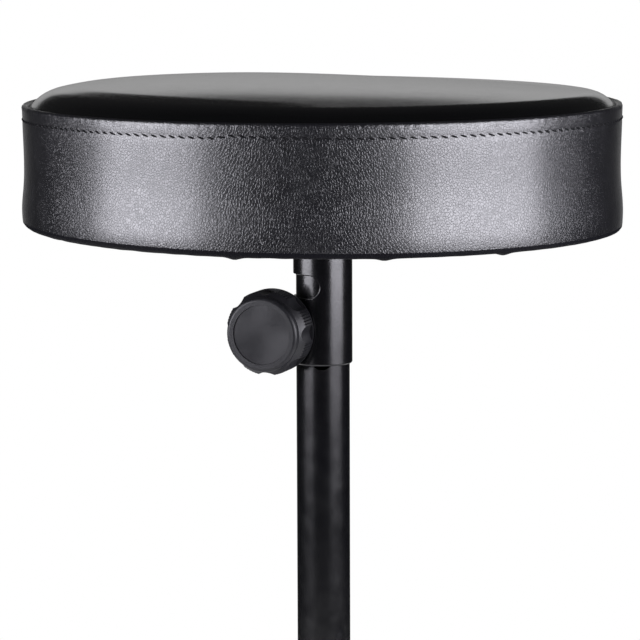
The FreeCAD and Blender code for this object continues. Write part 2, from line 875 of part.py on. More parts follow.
def end_plug(label, flange_radius, bore, flange_thick, place):
    """Moulded plug: a flange over the tube's end and a hollow body inside it."""
    body = turned_body(label, [
        ("0", "0"),
        (bore, "0"),
        (bore, "-plug_depth"),
        (f"{bore} - plug_wall", "-plug_depth"),
        (f"{bore} - plug_wall", "-plug_wall"),
        ("0", "-plug_wall"),
    ])
    rim = sketch_on(body, "XY_Plane")
    circle(rim, flange_radius)
    pad(body, rim, flange_thick)
    add_sub_part(body, place)


def end_plugs():
    """Plugs in the pole's two ends and in the upright's foot."""
    upside_down = FreeCAD.Placement(FreeCAD.Vector(), FreeCAD.Rotation(X_AXIS, 180))
    rim = "pole_radius - plug_gap"
    bore = f"{POLE_BORE} - thread_gap"
    end_plug("pole_top_plug", rim, bore, "plug_flange", spot(z=POLE_TOP))
    end_plug("pole_bottom_plug", rim, bore, "plug_flange", spot(z="pole_bottom") * upside_down)
    end_plug("base_tube_plug", "tube_radius", "tube_bore - thread_gap", "1.5 * plug_flange",
             spot(z="base_bottom") * upside_down)


# Tripod. A leg's own frame lies in its upright plane: +X outwards from the pole, +Z up.

def leg_azimuths():
    """Return the turns of the legs about the pole."""
    count = int(number("leg_count"))
    return [number("leg_turn") + 360 * step / count for step in range(count)]


def pin_corners(half_length, radius, head, dome):
    """Return the half outline of a domed rivet along Y, about the pivot's line."""
    tip = f"({half_length} + {dome})"
    edge = f"(pivot_radius + {head})"
    bend = f"(({head} ^ 2 + {dome} ^ 2) / (2 * {dome}))"
    return [
        ("pivot_radius", f"-{tip}"),
        (edge, f"-{half_length}", bend, LEFT),
        (f"pivot_radius + {radius}", f"-{half_length}"),
        (f"pivot_radius + {radius}", half_length),
        (edge, half_length),
        ("pivot_radius", tip, bend, LEFT),
    ]


def pivot_pins(label, half_length, height):
    """Ring of domed rivets, one for each leg, on the pivots at one height."""
    body = new_body(label)
    sketch = sketch_on(body, "XY_Plane")
    outline(sketch, pin_corners(half_length, "pin_radius", "pin_head", "pin_dome"))
    pin = turn_solid(body, sketch, "Edge1")
    repeat_round(body, [pin], "leg_count")
    add_sub_part(body, spot(z=height, angle=number("leg_turn")))


def mid_pivot(label, azimuth):
    """Domed rivet where a leg and its brace cross."""
    body = new_body(label)
    sketch = sketch_on(body, "XY_Plane")
    outline(sketch, pin_corners("leg_width / 2", "pin_radius", "pin_head", "pin_dome"))
    turn_solid(body, sketch, "Edge1")
    add_sub_part(body, spun(azimuth) * spot(x=f"{MID_RADIUS} - pivot_radius", z=MID_HEIGHT))


def lug_outline(body, half, start):
    """Sketch a lug that reaches from a ring to the pivot, with a round end."""
    sketch = sketch_on(body, "XZ_Plane")
    outline(sketch, [
        (start, f"-{half}"),
        ("pivot_radius", f"-{half}"),
        (f"pivot_radius + {half}", "0", half, LEFT),
        ("pivot_radius", half, half, LEFT),
        (start, half),
    ])
    return sketch


def ring_with_lugs(label, radius, tall, bore, lug_half, lug_thick):
    """Start a hub: a ring with a drilled lug for each leg."""
    body = new_body(label)
    ring = sketch_on(body, "XY_Plane")
    circle(ring, radius)
    pad(body, ring, tall, symmetric=True)
    lug = pad(body, lug_outline(body, lug_half, bore), lug_thick, symmetric=True)
    repeat_round(body, [lug], "leg_count")
    round_edges(body, "cast_round", is_any_edge)
    drill = sketch_on(body, "XZ_Plane")
    circle(drill, PIN_HOLE, "pivot_radius")
    hole = pocket(body, drill, symmetric=True)
    repeat_round(body, [hole], "leg_count")
    middle = sketch_on(body, "XY_Plane")
    circle(middle, bore)
    pocket(body, middle, symmetric=True)
    return body


def hub_rivet_line(start):
    """Return the line of the first hub rivet, outwards along X, in the stool's frame."""
    return spot(start, "0", "hub_height - hub_rivet_drop", Y_AXIS, 90)


def lower_hub():
    """Cast hub fixed to the upright's foot, with the lugs that the braces turn on."""
    body = ring_with_lugs("lower_hub", "hub_radius", "hub_tall", "tube_radius",
                          "hub_lug_round", "hub_lug_thick")
    drill = sketch_on(body, "YZ_Plane")
    circle(drill, "hub_rivet_radius + pin_gap", "0", "-hub_rivet_drop")
    hole = pocket(body, drill)
    repeat_round(body, [hole], "leg_count")
    add_sub_part(body, spot(z="hub_height", angle=number("leg_turn")))


def hub_rivets():
    """Short rivets that hold the hub to the upright, between the lugs."""
    body = new_body("hub_rivets")
    bend = "((hub_rivet_head ^ 2 + hub_rivet_dome ^ 2) / (2 * hub_rivet_dome))"
    sketch = sketch_on(body, "XZ_Plane")
    outline(sketch, [
        ("-tube_bore", "0"),
        ("-tube_bore", "hub_rivet_radius"),
        ("-hub_radius", "hub_rivet_radius"),
        ("-hub_radius", "hub_rivet_head"),
        ("-hub_radius - hub_rivet_dome", "0", bend, LEFT),
    ])
    rivet = turn_solid(body, sketch, "H_Axis")
    repeat_round(body, [rivet], "leg_count")
    add_sub_part(body, spot(z="hub_height - hub_rivet_drop", angle=number("leg_turn")))


def leg_collar():
    """Cast collar that slides on the upright and carries the legs' upper ends."""
    body = ring_with_lugs("leg_collar", "collar_radius", "collar_tall", "collar_bore",
                          "collar_lug_round", "collar_lug_thick")
    boss = sketch_on(body, "YZ_Plane", "-boss_reach")
    circle(boss, "boss_radius")
    pad(body, boss, "boss_reach - (collar_bore + collar_radius) / 2")
    thread = sketch_on(body, "YZ_Plane")
    circle(thread, "wing_bolt_radius + thread_gap")
    pocket(body, thread)
    add_sub_part(body, spot(z=COLLAR_HEIGHT, angle=number("leg_turn")))


def collar_liner():
    """Split nylon bush between the collar and the upright, open where the wing screw presses."""
    place = spot(z=f"{COLLAR_HEIGHT} - collar_tall / 2", angle=number("leg_turn"))
    outside = cylinder("liner_outside", "collar_bore", "collar_tall")
    inside = cylinder("liner_inside", "tube_radius + running_gap", "collar_tall")
    window = cylinder("liner_window", "wing_bolt_radius + thread_gap", "collar_radius",
                      spot(z="collar_tall / 2", axis=Y_AXIS, angle=-90))
    split = box("liner_split", ("0", "tube_radius / 2", "0"), ("slit_width", "tube_radius", "collar_tall"))
    add_sub_part(cut("collar_liner", outside, inside, window, split), place)


def wing_place():
    """Return the frame of the wing screw: +Z outwards along the screw, opposite the first leg."""
    return spot(z=COLLAR_HEIGHT, angle=number("leg_turn")) * spot(axis=Y_AXIS, angle=-90)


def wing_screw():
    """Wing screw of the collar: a pressure tip, a threaded stud and a moulded wing."""
    tip_start = "tube_radius + tip_gap"
    stud_start = f"{tip_start} + tip_length"
    tip = cylinder("pressure_tip", "wing_bolt_radius", "tip_length")
    add_sub_part(tip, wing_place() * spot(z=tip_start))
    stud = cylinder("wing_bolt", "wing_bolt_radius", f"wing_bolt_end - ({stud_start})")
    add_sub_part(stud, wing_place() * spot(z=stud_start))
    add_sub_part(wing_grip(), wing_place() * spot(z="wing_start"))


def wing_grip():
    """Wing with a round hub and two swept blades."""
    body = turned_body("wing_grip", [
        ("wing_bolt_radius", "0"),
        ("wing_hub", "0"),
        ("wing_hub - wing_taper", "wing_hub_tall"),
        ("wing_bolt_radius", "wing_hub_tall"),
    ])
    root = "(wing_hub - 2 * wing_taper)"
    for side, turn in (("", LEFT), ("-", RIGHT)):
        sketch = sketch_on(body, "XZ_Plane")
        outline(sketch, [
            (f"{side}{root}", "wing_inset"),
            (f"{side}wing_span", "wing_tall / 2"),
            (f"{side}(wing_span - wing_sweep)", "wing_tall", "wing_tip_round", turn),
            (f"{side}{root}", "wing_hub_tall - wing_inset"),
        ])
        pad(body, sketch, "wing_thick", symmetric=True)
    round_edges(body, "wing_edge", is_outer_edge(number("wing_hub")))
    return body


def leg_place(azimuth):
    """Return a leg's frame: the origin at its upper pivot, +X down along the leg, +Z to its outer face."""
    return spun(azimuth) * spot("pivot_radius", "0", COLLAR_HEIGHT, Y_AXIS, 90 - number("open_angle"))


def brace_place(azimuth):
    """Return a brace's frame: the origin at its lower pivot, +X up along the brace."""
    return spun(azimuth) * spot("pivot_radius", "0", "hub_height", Y_AXIS, number("open_angle") - 90)


def is_long_edge(side, level):
    """Return a test for the straight edges along X at one side and level of a channel."""
    def chosen(edge):
        if not isinstance(edge.Curve, Part.Line):
            return False
        start, end = (vertex.Point for vertex in edge.Vertexes)
        return all(
            math.isclose(abs(point.y), side, abs_tol=1e-4) and math.isclose(point.z, level, abs_tol=1e-4)
            for point in (start, end)
        )
    return chosen


def is_outer_edge(radius):
    """Return a test for the edges whose middle lies outside a radius about Z."""
    def chosen(edge):
        middle = edge.valueAt((edge.FirstParameter + edge.LastParameter) / 2)
        return math.hypot(middle.x, middle.y) > radius
    return chosen


def is_any_edge(edge):
    """Pick every edge."""
    return edge.Length > 0


def channel(body, sketch, width, wall, low, high):
    """Raise a side outline to a width and hollow it into a U-channel between two levels."""
    pad(body, sketch, width, symmetric=True)
    hollow = sketch_on(body, "YZ_Plane")
    inside = f"({width} / 2 - {wall})"
    outline(hollow, rectangle(f"-{inside}", low, inside, high))
    pocket(body, hollow, symmetric=True)


def leg(label, azimuth):
    """Pressed U-channel leg, open towards the pole, with a round upper end."""
    body = new_body(label)
    sketch = sketch_on(body, "XZ_Plane")
    outline(sketch, [
        ("0", "-leg_depth_in", "leg_depth_in", LEFT),
        ("leg_length", "-leg_depth_in"),
        ("leg_length", "leg_depth_out"),
        ("leg_shoulder", "leg_depth_out"),
        ("0", "leg_depth_in"),
        ("-leg_depth_in", "0", "leg_depth_in", LEFT),
    ])
    channel(body, sketch, "leg_width", "leg_wall", "-2 * leg_depth_in", WEB_FACE)
    for place in ("0", "link"):
        drill = sketch_on(body, "XZ_Plane")
        circle(drill, PIN_HOLE, place)
        pocket(body, drill, symmetric=True)
    round_edges(body, "bend_round", is_long_edge(number("leg_width / 2"), number("leg_depth_out")))
    add_sub_part(body, leg_place(azimuth))


def brace(label, azimuth):
    """Pressed U-channel brace with round ends, narrow enough to fold into its leg."""
    body = new_body(label)
    sketch = sketch_on(body, "XZ_Plane")
    outline(sketch, [
        ("link", "-brace_round"),
        ("link + brace_round", "0", "brace_round", LEFT),
        ("link", "brace_round", "brace_round", LEFT),
        ("0", "brace_round"),
        ("-brace_round", "0", "brace_round", LEFT),
        ("0", "-brace_round", "brace_round", LEFT),
    ])
    channel(body, sketch, "brace_width", "brace_wall", "brace_wall - brace_round", "2 * brace_round")
    for place in ("0", "link"):
        drill = sketch_on(body, "XZ_Plane")
        circle(drill, PIN_HOLE, place)
        pocket(body, drill, symmetric=True)
    round_edges(body, "bend_round", is_long_edge(number("brace_width / 2"), -number("brace_round")))
    add_sub_part(body, brace_place(azimuth))


def on_leg(along, out):
    """Return the radius and height, as formulas, of a point in a leg's side view."""
    return (
        f"(pivot_radius + ({along}) * sin(open_angle) + ({out}) * cos(open_angle))",
        f"({COLLAR_HEIGHT} - ({along}) * cos(open_angle) + ({out}) * sin(open_angle))",
    )


def foot(label, azimuth):
    """Rubber foot: a boot over the leg's end with a flat, grooved sole."""
    body = new_body(label)
    top = "leg_depth_out + foot_wall"
    bottom = "-leg_depth_in - foot_wall"
    mouth = "leg_length - foot_grip"
    sketch = sketch_on(body, "XZ_Plane")
    outline(sketch, [
        ("foot_heel", "0"),
        ("foot_toe", "0"),
        ("foot_nose", "foot_nose_height"),
        on_leg("leg_length + 2 * foot_wall", top),
        on_leg(mouth, top),
        on_leg(mouth, bottom),
        on_leg("leg_length - foot_grip / 2", bottom),
    ])
    pad(body, sketch, "foot_width", symmetric=True)
    round_edges(body, "foot_round", is_any_edge)
    socket = sketch_on(body, "XZ_Plane")
    outline(socket, [
        on_leg("leg_length - 2 * foot_grip", "-leg_depth_in"),
        on_leg("leg_length", "-leg_depth_in"),
        on_leg("leg_length", "leg_depth_out"),
        on_leg("leg_length - 2 * foot_grip", "leg_depth_out"),
    ])
    pocket(body, socket, "leg_width", symmetric=True)
    middle = "(foot_heel + foot_toe) / 2"
    for step in range(int(number("tread_count"))):
        centre = f"({middle} + ({step} - (tread_count - 1) / 2) * tread_pitch)"
        groove = sketch_on(body, "XZ_Plane")
        outline(groove, rectangle(f"{centre} - tread_width / 2", "-tread_depth",
                                  f"{centre} + tread_width / 2", "tread_depth"))
        pocket(body, groove, symmetric=True)
    add_sub_part(body, spun(azimuth))


def tripod():
    """Build the hub, the collar, and each leg with its brace, foot and rivets."""
    lower_hub()
    hub_rivets()
    pivot_pins("lower_pivots", "(brace_width / 2 + running_gap)", "hub_height")
    leg_collar()
    collar_liner()
    pivot_pins("upper_pivots", "(leg_width / 2 + running_gap)", COLLAR_HEIGHT)
    wing_screw()
    for index, azimuth in enumerate(leg_azimuths(), start=1):
        leg(f"leg_{index}", azimuth)
        brace(f"brace_{index}", azimuth)
        foot(f"foot_{index}", azimuth)
        mid_pivot(f"mid_pivot_{index}", azimuth)


# Checks and export.

def check_document():
    """Stop if an object failed, or a piece's shape is missing or broken."""
    doc.recompute()
    for item in doc.Objects:
        if "Invalid" in item.State or "Error" in item.State:
            raise RuntimeError(f"{item.Label} failed: {item.State}")
    for item in sub_parts:
        if item.Shape.isNull() or not item.Shape.isValid() or not item.Shape.Solids:
            raise RuntimeError(f"{item.Label} has no valid shape")


def export():
    """Write each piece to its own file."""
    os.makedirs("parts", exist_ok=True)
    for item in sub_parts:
        item.Shape.exportStep(f"parts/{item.Label}.step")
        print(f"{item.Label}: {len(item.Shape.Solids)} solids, {item.Shape.Volume / 1000:.2f} cm3")


def main():
    """Build the stool from the seat down."""
    make_sheet()
    top_panel()
    side_band()
    foam_pad()
    seat_board()
    bottom_cloth()
    staples()
    tee_nuts()
    seat_plate()
    plate_washers()
    plate_bolts()
    socket_sleeve()
    clamp("seat", clamp_place("seat_clamp_turn", SEAT_RIM, False))
    seat_pole()
    base_tube()
    clamp("base", clamp_place("base_clamp_turn", "base_top", True))
    end_plugs()
    tripod()
    check_document()
    export()


main()
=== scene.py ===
import json
import logging
import math
from dataclasses import dataclass
from enum import Enum
from typing import Any, Mapping, Optional, Sequence, Union

import bpy
import numpy as np
from mathutils import Matrix, Vector


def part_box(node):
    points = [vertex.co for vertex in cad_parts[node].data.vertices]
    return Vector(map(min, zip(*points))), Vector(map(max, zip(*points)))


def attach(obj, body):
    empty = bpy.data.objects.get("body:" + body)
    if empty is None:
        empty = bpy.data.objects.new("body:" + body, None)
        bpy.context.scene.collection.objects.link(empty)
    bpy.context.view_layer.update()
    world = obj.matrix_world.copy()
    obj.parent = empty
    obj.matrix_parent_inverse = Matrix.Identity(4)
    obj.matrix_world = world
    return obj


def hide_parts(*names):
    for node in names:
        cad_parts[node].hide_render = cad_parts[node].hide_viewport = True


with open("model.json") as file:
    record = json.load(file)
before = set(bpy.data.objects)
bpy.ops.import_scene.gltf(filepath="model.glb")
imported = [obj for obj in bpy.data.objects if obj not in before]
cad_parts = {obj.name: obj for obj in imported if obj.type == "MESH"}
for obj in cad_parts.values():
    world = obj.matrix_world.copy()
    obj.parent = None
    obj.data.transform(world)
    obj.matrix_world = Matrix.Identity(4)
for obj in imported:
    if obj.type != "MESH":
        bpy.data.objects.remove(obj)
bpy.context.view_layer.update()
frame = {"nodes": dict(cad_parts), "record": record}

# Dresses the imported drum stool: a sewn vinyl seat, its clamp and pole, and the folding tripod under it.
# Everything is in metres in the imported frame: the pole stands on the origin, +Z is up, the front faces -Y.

LOG = logging.getLogger("drum_stool")
MM = 0.001
PICTURE_PIXELS = 640
HEM_RADIUS = 110 * MM
TINY = 1e-9

# Most values of a noise lie in this range.
NOISE_RANGE = (0.3, 0.7)

Colour = tuple[float, float, float]
Stretch = tuple[float, float, float]
Socket = bpy.types.NodeSocket
SocketValue = Union[float, Sequence[float], Socket]


class Slot(Enum):
    """Finishes that the record names."""

    VINYL = "vinyl"
    FOAM = "foam"
    PLYWOOD = "plywood"
    DUST_CLOTH = "dust_cloth"
    ZINC = "zinc"
    BLACK_STEEL = "black_steel"
    BLACK_CASTING = "black_casting"
    BLACK_PLASTIC = "black_plastic"
    NYLON = "nylon"
    BRASS = "brass"
    RUBBER = "rubber"


class Cells(Enum):
    """Ways to read a cell pattern."""

    CENTRES = "F1"
    EDGES = "DISTANCE_TO_EDGE"


SHADER_INPUTS = {
    "colour": "Base Color",
    "metal": "Metallic",
    "roughness": "Roughness",
    "specular": "Specular IOR Level",
    "coat": "Coat Weight",
    "coat_roughness": "Coat Roughness",
    "coat_ior": "Coat IOR",
    "sheen": "Sheen Weight",
    "normal": "Normal",
}


class Shader:
    """A material with a principled shader, and short ways to add nodes to it."""

    def __init__(self, name: str) -> None:
        """Start a material.

        Args:
            name: the material's name.
        """
        self.material = bpy.data.materials.new(name)
        self.material.use_nodes = True
        self.tree = self.material.node_tree
        self.tree.nodes.clear()
        self.output = self.tree.nodes.new("ShaderNodeOutputMaterial")
        self.surface = self.tree.nodes.new("ShaderNodeBsdfPrincipled")
        self.tree.links.new(self.surface.outputs["BSDF"], self.output.inputs["Surface"])

    def feed(self, node: bpy.types.Node, values: Mapping[str, SocketValue]) -> None:
        """Set or link a node's inputs.

        Args:
            node: the node to feed.
            values: a number, a colour or another node's output for each input's name.
        """
        for name, value in values.items():
            if isinstance(value, Socket):
                self.tree.links.new(value, node.inputs[name])
            else:
                node.inputs[name].default_value = value

    def add(self, kind: str, values: Mapping[str, SocketValue], **options: Any) -> bpy.types.Node:
        """Add a node.

        Args:
            kind: Blender's name of the node's type.
            values: what feeds its inputs.
            options: the node's own properties.

        Returns:
            The new node.
        """
        node = self.tree.nodes.new(kind)
        for name, value in options.items():
            setattr(node, name, value)
        self.feed(node, values)
        return node

    def where(self, stretch: Sequence[float] = (1.0, 1.0, 1.0)) -> Socket:
        """Give the place on the object, in metres.

        Args:
            stretch: factors on the three axes, where one below 1 draws a pattern out along its axis.

        Returns:
            The stretched place.
        """
        place = self.tree.nodes.new("ShaderNodeTexCoord").outputs["Object"]
        return self.add("ShaderNodeMapping", {"Vector": place, "Scale": stretch}).outputs["Vector"]

    def noise(self, place: Socket, size: float, detail: float = 3.0, rough: float = 0.5) -> Socket:
        """Give a soft noise.

        Args:
            place: where to read it.
            size: the size of its lumps, in metres.
            detail: how many finer layers it has.
            rough: how strong the finer layers are.

        Returns:
            A value about 0.5.
        """
        values = {"Vector": place, "Scale": 1 / size, "Detail": detail, "Roughness": rough}
        return self.add("ShaderNodeTexNoise", values).outputs["Fac"]

    def cells(self, place: Socket, size: float, reading: Cells) -> Socket:
        """Give a pattern of cells.

        Args:
            place: where to read it.
            size: the cells' size, in metres.
            reading: which distance to give.

        Returns:
            The distance, in cell sizes.
        """
        node = self.add("ShaderNodeTexVoronoi", {"Vector": place, "Scale": 1 / size}, feature=reading.value)
        return node.outputs["Distance"]

    def between(self, value: Socket, low: float, high: float, start: float = 0.0, end: float = 1.0) -> Socket:
        """Map a value from one range to another, without going past its ends.

        Args:
            value: the value.
            low: the result at start.
            high: the result at end.
            start: where the value's range begins.
            end: where the value's range ends.

        Returns:
            The mapped value.
        """
        values = {"Value": value, "From Min": start, "From Max": end, "To Min": low, "To Max": high}
        return self.add("ShaderNodeMapRange", values).outputs["Result"]

    def sums(self, first: Socket, second: SocketValue, operation: str = "ADD") -> Socket:
        """Join two values by arithmetic.

        Args:
            first: the first value.
            second: the second value or number.
            operation: Blender's name of the operation.

        Returns:
            The result.
        """
        node = self.add("ShaderNodeMath", {}, operation=operation)
        for socket, value in zip(node.inputs, (first, second)):
            if isinstance(value, Socket):
                self.tree.links.new(value, socket)
            else:
                socket.default_value = value
        return node.outputs["Value"]

    def tint(self, value: Socket, dark: Colour, light: Colour) -> Socket:
        """Run between two colours.

        Args:
            value: 0 for the first colour, 1 for the second.
            dark: the first colour.
            light: the second colour.

        Returns:
            The colour.
        """
        ramp = self.add("ShaderNodeValToRGB", {"Fac": value})
        ramp.color_ramp.elements[0].color = (*dark, 1.0)
        ramp.color_ramp.elements[1].color = (*light, 1.0)
        return ramp.outputs["Color"]

    def relief(self, layers: Sequence[tuple[Socket, float]]) -> Socket:
        """Stack bumps.

        Args:
            layers: each bump's height pattern and its depth in metres.

        Returns:
            The surface's bent normal.
        """
        normal: Optional[Socket] = None
        for height, depth in layers:
            values: dict[str, SocketValue] = {"Height": height, "Distance": depth, "Strength": 1.0}
            if normal is not None:
                values["Normal"] = normal
            normal = self.add("ShaderNodeBump", values).outputs["Normal"]
        return normal

    def set(self, **values: SocketValue) -> bpy.types.Material:
        """Feed the principled shader.

        Args:
            values: what feeds each input, under its short name in SHADER_INPUTS.

        Returns:
            The finished material.
        """
        self.feed(self.surface, {SHADER_INPUTS[name]: value for name, value in values.items()})
        return self.material


@dataclass(frozen=True)
class GrainedVinyl:
    """Black leatherette with a fine pebbled grain and short upright creases."""

    name: str = "grained_vinyl"
    dark: Colour = (0.0025, 0.0025, 0.004)
    light: Colour = (0.005, 0.005, 0.008)
    grain: float = 1.1 * MM
    grain_depth: float = 0.085 * MM
    groove: float = 0.22
    crease: float = 1.2 * MM
    crease_depth: float = 0.07 * MM
    grain_stretch: Stretch = (1.0, 1.0, 0.88)
    crease_stretch: Stretch = (1.0, 1.0, 0.8)
    wander_grains: float = 9.0
    cloud: float = 40 * MM
    roughness: tuple[float, float] = (0.28, 0.35)
    specular: float = 1.0
    coat: float = 0.8
    coat_roughness: float = 0.27
    coat_ior: float = 1.6

    def material(self) -> bpy.types.Material:
        """Build the material.

        Returns:
            The finished material.
        """
        shader = Shader(self.name)
        upright = shader.where(self.grain_stretch)
        wander = shader.noise(upright, self.wander_grains * self.grain, detail=2.0)
        pebbles = shader.between(shader.cells(upright, self.grain, Cells.EDGES), 0.0, 1.0, end=self.groove)
        creases = shader.noise(shader.where(self.crease_stretch), self.crease, detail=4.0, rough=0.62)
        cloud = shader.noise(shader.where(), self.cloud)
        return shader.set(
            colour=shader.tint(cloud, self.dark, self.light),
            roughness=shader.between(wander, *self.roughness, *NOISE_RANGE),
            specular=self.specular,
            coat=self.coat,
            coat_roughness=self.coat_roughness,
            coat_ior=self.coat_ior,
            normal=shader.relief([(creases, self.crease_depth), (pebbles, self.grain_depth)]),
        )


@dataclass(frozen=True)
class PowderCoat:
    """Satin black powder coat with a fine orange peel and a little dust."""

    name: str = "satin_powder_coat"
    dark: Colour = (0.0015, 0.0015, 0.0022)
    light: Colour = (0.003, 0.003, 0.0045)
    peel: float = 1.1 * MM
    peel_depth: float = 0.02 * MM
    cloud: float = 30 * MM
    dust: float = 7 * MM
    roughness: tuple[float, float] = (0.20, 0.26)
    specular: float = 1.0

    def material(self) -> bpy.types.Material:
        """Build the material.

        Returns:
            The finished material.
        """
        shader = Shader(self.name)
        place = shader.where()
        cloud = shader.noise(place, self.cloud)
        dust = shader.noise(place, self.dust, detail=4.0)
        return shader.set(
            colour=shader.tint(cloud, self.dark, self.light),
            roughness=shader.between(dust, *self.roughness, *NOISE_RANGE),
            specular=self.specular,
            normal=shader.relief([(shader.noise(place, self.peel, detail=2.0), self.peel_depth)]),
        )


@dataclass(frozen=True)
class CastPaint:
    """Black paint over a sand-blasted casting."""

    name: str = "painted_casting"
    dark: Colour = (0.010, 0.010, 0.011)
    light: Colour = (0.024, 0.024, 0.026)
    pits: float = 0.9 * MM
    pit_depth: float = 0.06 * MM
    cloud: float = 12 * MM
    roughness: tuple[float, float] = (0.40, 0.56)

    def material(self) -> bpy.types.Material:
        """Build the material.

        Returns:
            The finished material.
        """
        shader = Shader(self.name)
        place = shader.where()
        cloud = shader.noise(place, self.cloud, detail=4.0)
        return shader.set(
            colour=shader.tint(cloud, self.dark, self.light),
            roughness=shader.between(cloud, *self.roughness, *NOISE_RANGE),
            normal=shader.relief([(shader.noise(place, self.pits), self.pit_depth)]),
        )


@dataclass(frozen=True)
class MouldedPlastic:
    """Black moulded plastic with a fine spark texture and a cloudy sheen."""

    name: str = "moulded_plastic"
    dark: Colour = (0.009, 0.009, 0.011)
    light: Colour = (0.020, 0.020, 0.023)
    cloud: float = 14 * MM
    sink: float = 20 * MM
    sink_depth: float = 0.2 * MM
    spark: float = 0.35 * MM
    spark_depth: float = 0.03 * MM
    cloud_range: tuple[float, float] = (0.32, 0.68)
    roughness: tuple[float, float] = (0.32, 0.48)
    specular: float = 0.55

    def material(self) -> bpy.types.Material:
        """Build the material.

        Returns:
            The finished material.
        """
        shader = Shader(self.name)
        place = shader.where()
        cloud = shader.noise(place, self.cloud, detail=4.0, rough=0.6)
        return shader.set(
            colour=shader.tint(cloud, self.dark, self.light),
            roughness=shader.between(cloud, *self.roughness, *self.cloud_range),
            specular=self.specular,
            normal=shader.relief([
                (shader.noise(place, self.sink, detail=0.0), self.sink_depth),
                (shader.noise(place, self.spark, detail=2.0), self.spark_depth),
            ]),
        )


@dataclass(frozen=True)
class PlatedMetal:
    """Plated or turned metal with fine scratches and a spotted shine."""

    name: str
    dark: Colour
    light: Colour
    spot: float = 5 * MM
    scratch: float = 0.5 * MM
    scratch_depth: float = 0.01 * MM
    scratch_stretch: Stretch = (1.0, 1.0, 0.15)
    roughness: tuple[float, float] = (0.24, 0.42)

    def material(self) -> bpy.types.Material:
        """Build the material.

        Returns:
            The finished material.
        """
        shader = Shader(self.name)
        spots = shader.noise(shader.where(), self.spot, detail=4.0, rough=0.6)
        scratches = shader.noise(shader.where(self.scratch_stretch), self.scratch)
        return shader.set(
            colour=shader.tint(spots, self.dark, self.light),
            metal=1.0,
            roughness=shader.between(spots, *self.roughness, *NOISE_RANGE),
            normal=shader.relief([(scratches, self.scratch_depth)]),
        )


@dataclass(frozen=True)
class Rubber:
    """Matte black rubber with a dusty bloom."""

    name: str = "black_rubber"
    dark: Colour = (0.014, 0.014, 0.014)
    light: Colour = (0.042, 0.041, 0.039)
    bloom: float = 16 * MM
    skin: float = 0.8 * MM
    skin_depth: float = 0.05 * MM
    roughness: tuple[float, float] = (0.62, 0.86)
    specular: float = 0.35

    def material(self) -> bpy.types.Material:
        """Build the material.

        Returns:
            The finished material.
        """
        shader = Shader(self.name)
        place = shader.where()
        bloom = shader.noise(place, self.bloom, detail=5.0, rough=0.62)
        return shader.set(
            colour=shader.tint(bloom, self.dark, self.light),
            roughness=shader.between(bloom, *self.roughness, *NOISE_RANGE),
            specular=self.specular,
            normal=shader.relief([(shader.noise(place, self.skin), self.skin_depth)]),
        )


@dataclass(frozen=True)
class Nylon:
    """Off-white moulded nylon."""

    name: str = "off_white_nylon"
    dark: Colour = (0.62, 0.60, 0.54)
    light: Colour = (0.78, 0.77, 0.72)
    cloud: float = 8 * MM
    skin: float = 0.6 * MM
    skin_depth: float = 0.02 * MM
    roughness: tuple[float, float] = (0.38, 0.52)

    def material(self) -> bpy.types.Material:
        """Build the material.

        Returns:
            The finished material.
        """
        shader = Shader(self.name)
        place = shader.where()
        cloud = shader.noise(place, self.cloud)
        return shader.set(
            colour=shader.tint(cloud, self.dark, self.light),
            roughness=shader.between(cloud, *self.roughness, *NOISE_RANGE),
            normal=shader.relief([(shader.noise(place, self.skin, detail=2.0), self.skin_depth)]),
        )


@dataclass(frozen=True)
class Plywood:
    """Sanded birch plywood with drawn-out grain."""

    name: str = "birch_plywood"
    dark: Colour = (0.40, 0.26, 0.13)
    light: Colour = (0.66, 0.49, 0.30)
    grain: float = 9 * MM
    grain_depth: float = 0.12 * MM
    grain_stretch: Stretch = (0.12, 1.0, 3.0)
    roughness: tuple[float, float] = (0.52, 0.7)

    def material(self) -> bpy.types.Material:
        """Build the material.

        Returns:
            The finished material.
        """
        shader = Shader(self.name)
        grain = shader.noise(shader.where(self.grain_stretch), self.grain, detail=6.0, rough=0.6)
        return shader.set(
            colour=shader.tint(grain, self.dark, self.light),
            roughness=shader.between(grain, *self.roughness, *NOISE_RANGE),
            normal=shader.relief([(grain, self.grain_depth)]),
        )


@dataclass(frozen=True)
class NonWovenCloth:
    """Black dust cloth: pressed fibres with a grid of small bond points."""

    name: str = "black_dust_cloth"
    dark: Colour = (0.010, 0.010, 0.011)
    light: Colour = (0.034, 0.034, 0.036)
    fibre: float = 1.4 * MM
    fibre_depth: float = 0.12 * MM
    fibre_stretch: Stretch = (1.0, 0.35, 1.0)
    bond: float = 2.2 * MM
    bond_depth: float = 0.10 * MM
    roughness: tuple[float, float] = (0.74, 0.92)
    specular: float = 0.3
    sheen: float = 0.2

    def material(self) -> bpy.types.Material:
        """Build the material.

        Returns:
            The finished material.
        """
        shader = Shader(self.name)
        place = shader.where()
        fibres = shader.noise(shader.where(self.fibre_stretch), self.fibre, detail=6.0, rough=0.7)
        bonds = shader.cells(place, self.bond, Cells.CENTRES)
        return shader.set(
            colour=shader.tint(fibres, self.dark, self.light),
            roughness=shader.between(fibres, *self.roughness, *NOISE_RANGE),
            sheen=self.sheen,
            specular=self.specular,
            normal=shader.relief([(fibres, self.fibre_depth), (bonds, self.bond_depth)]),
        )


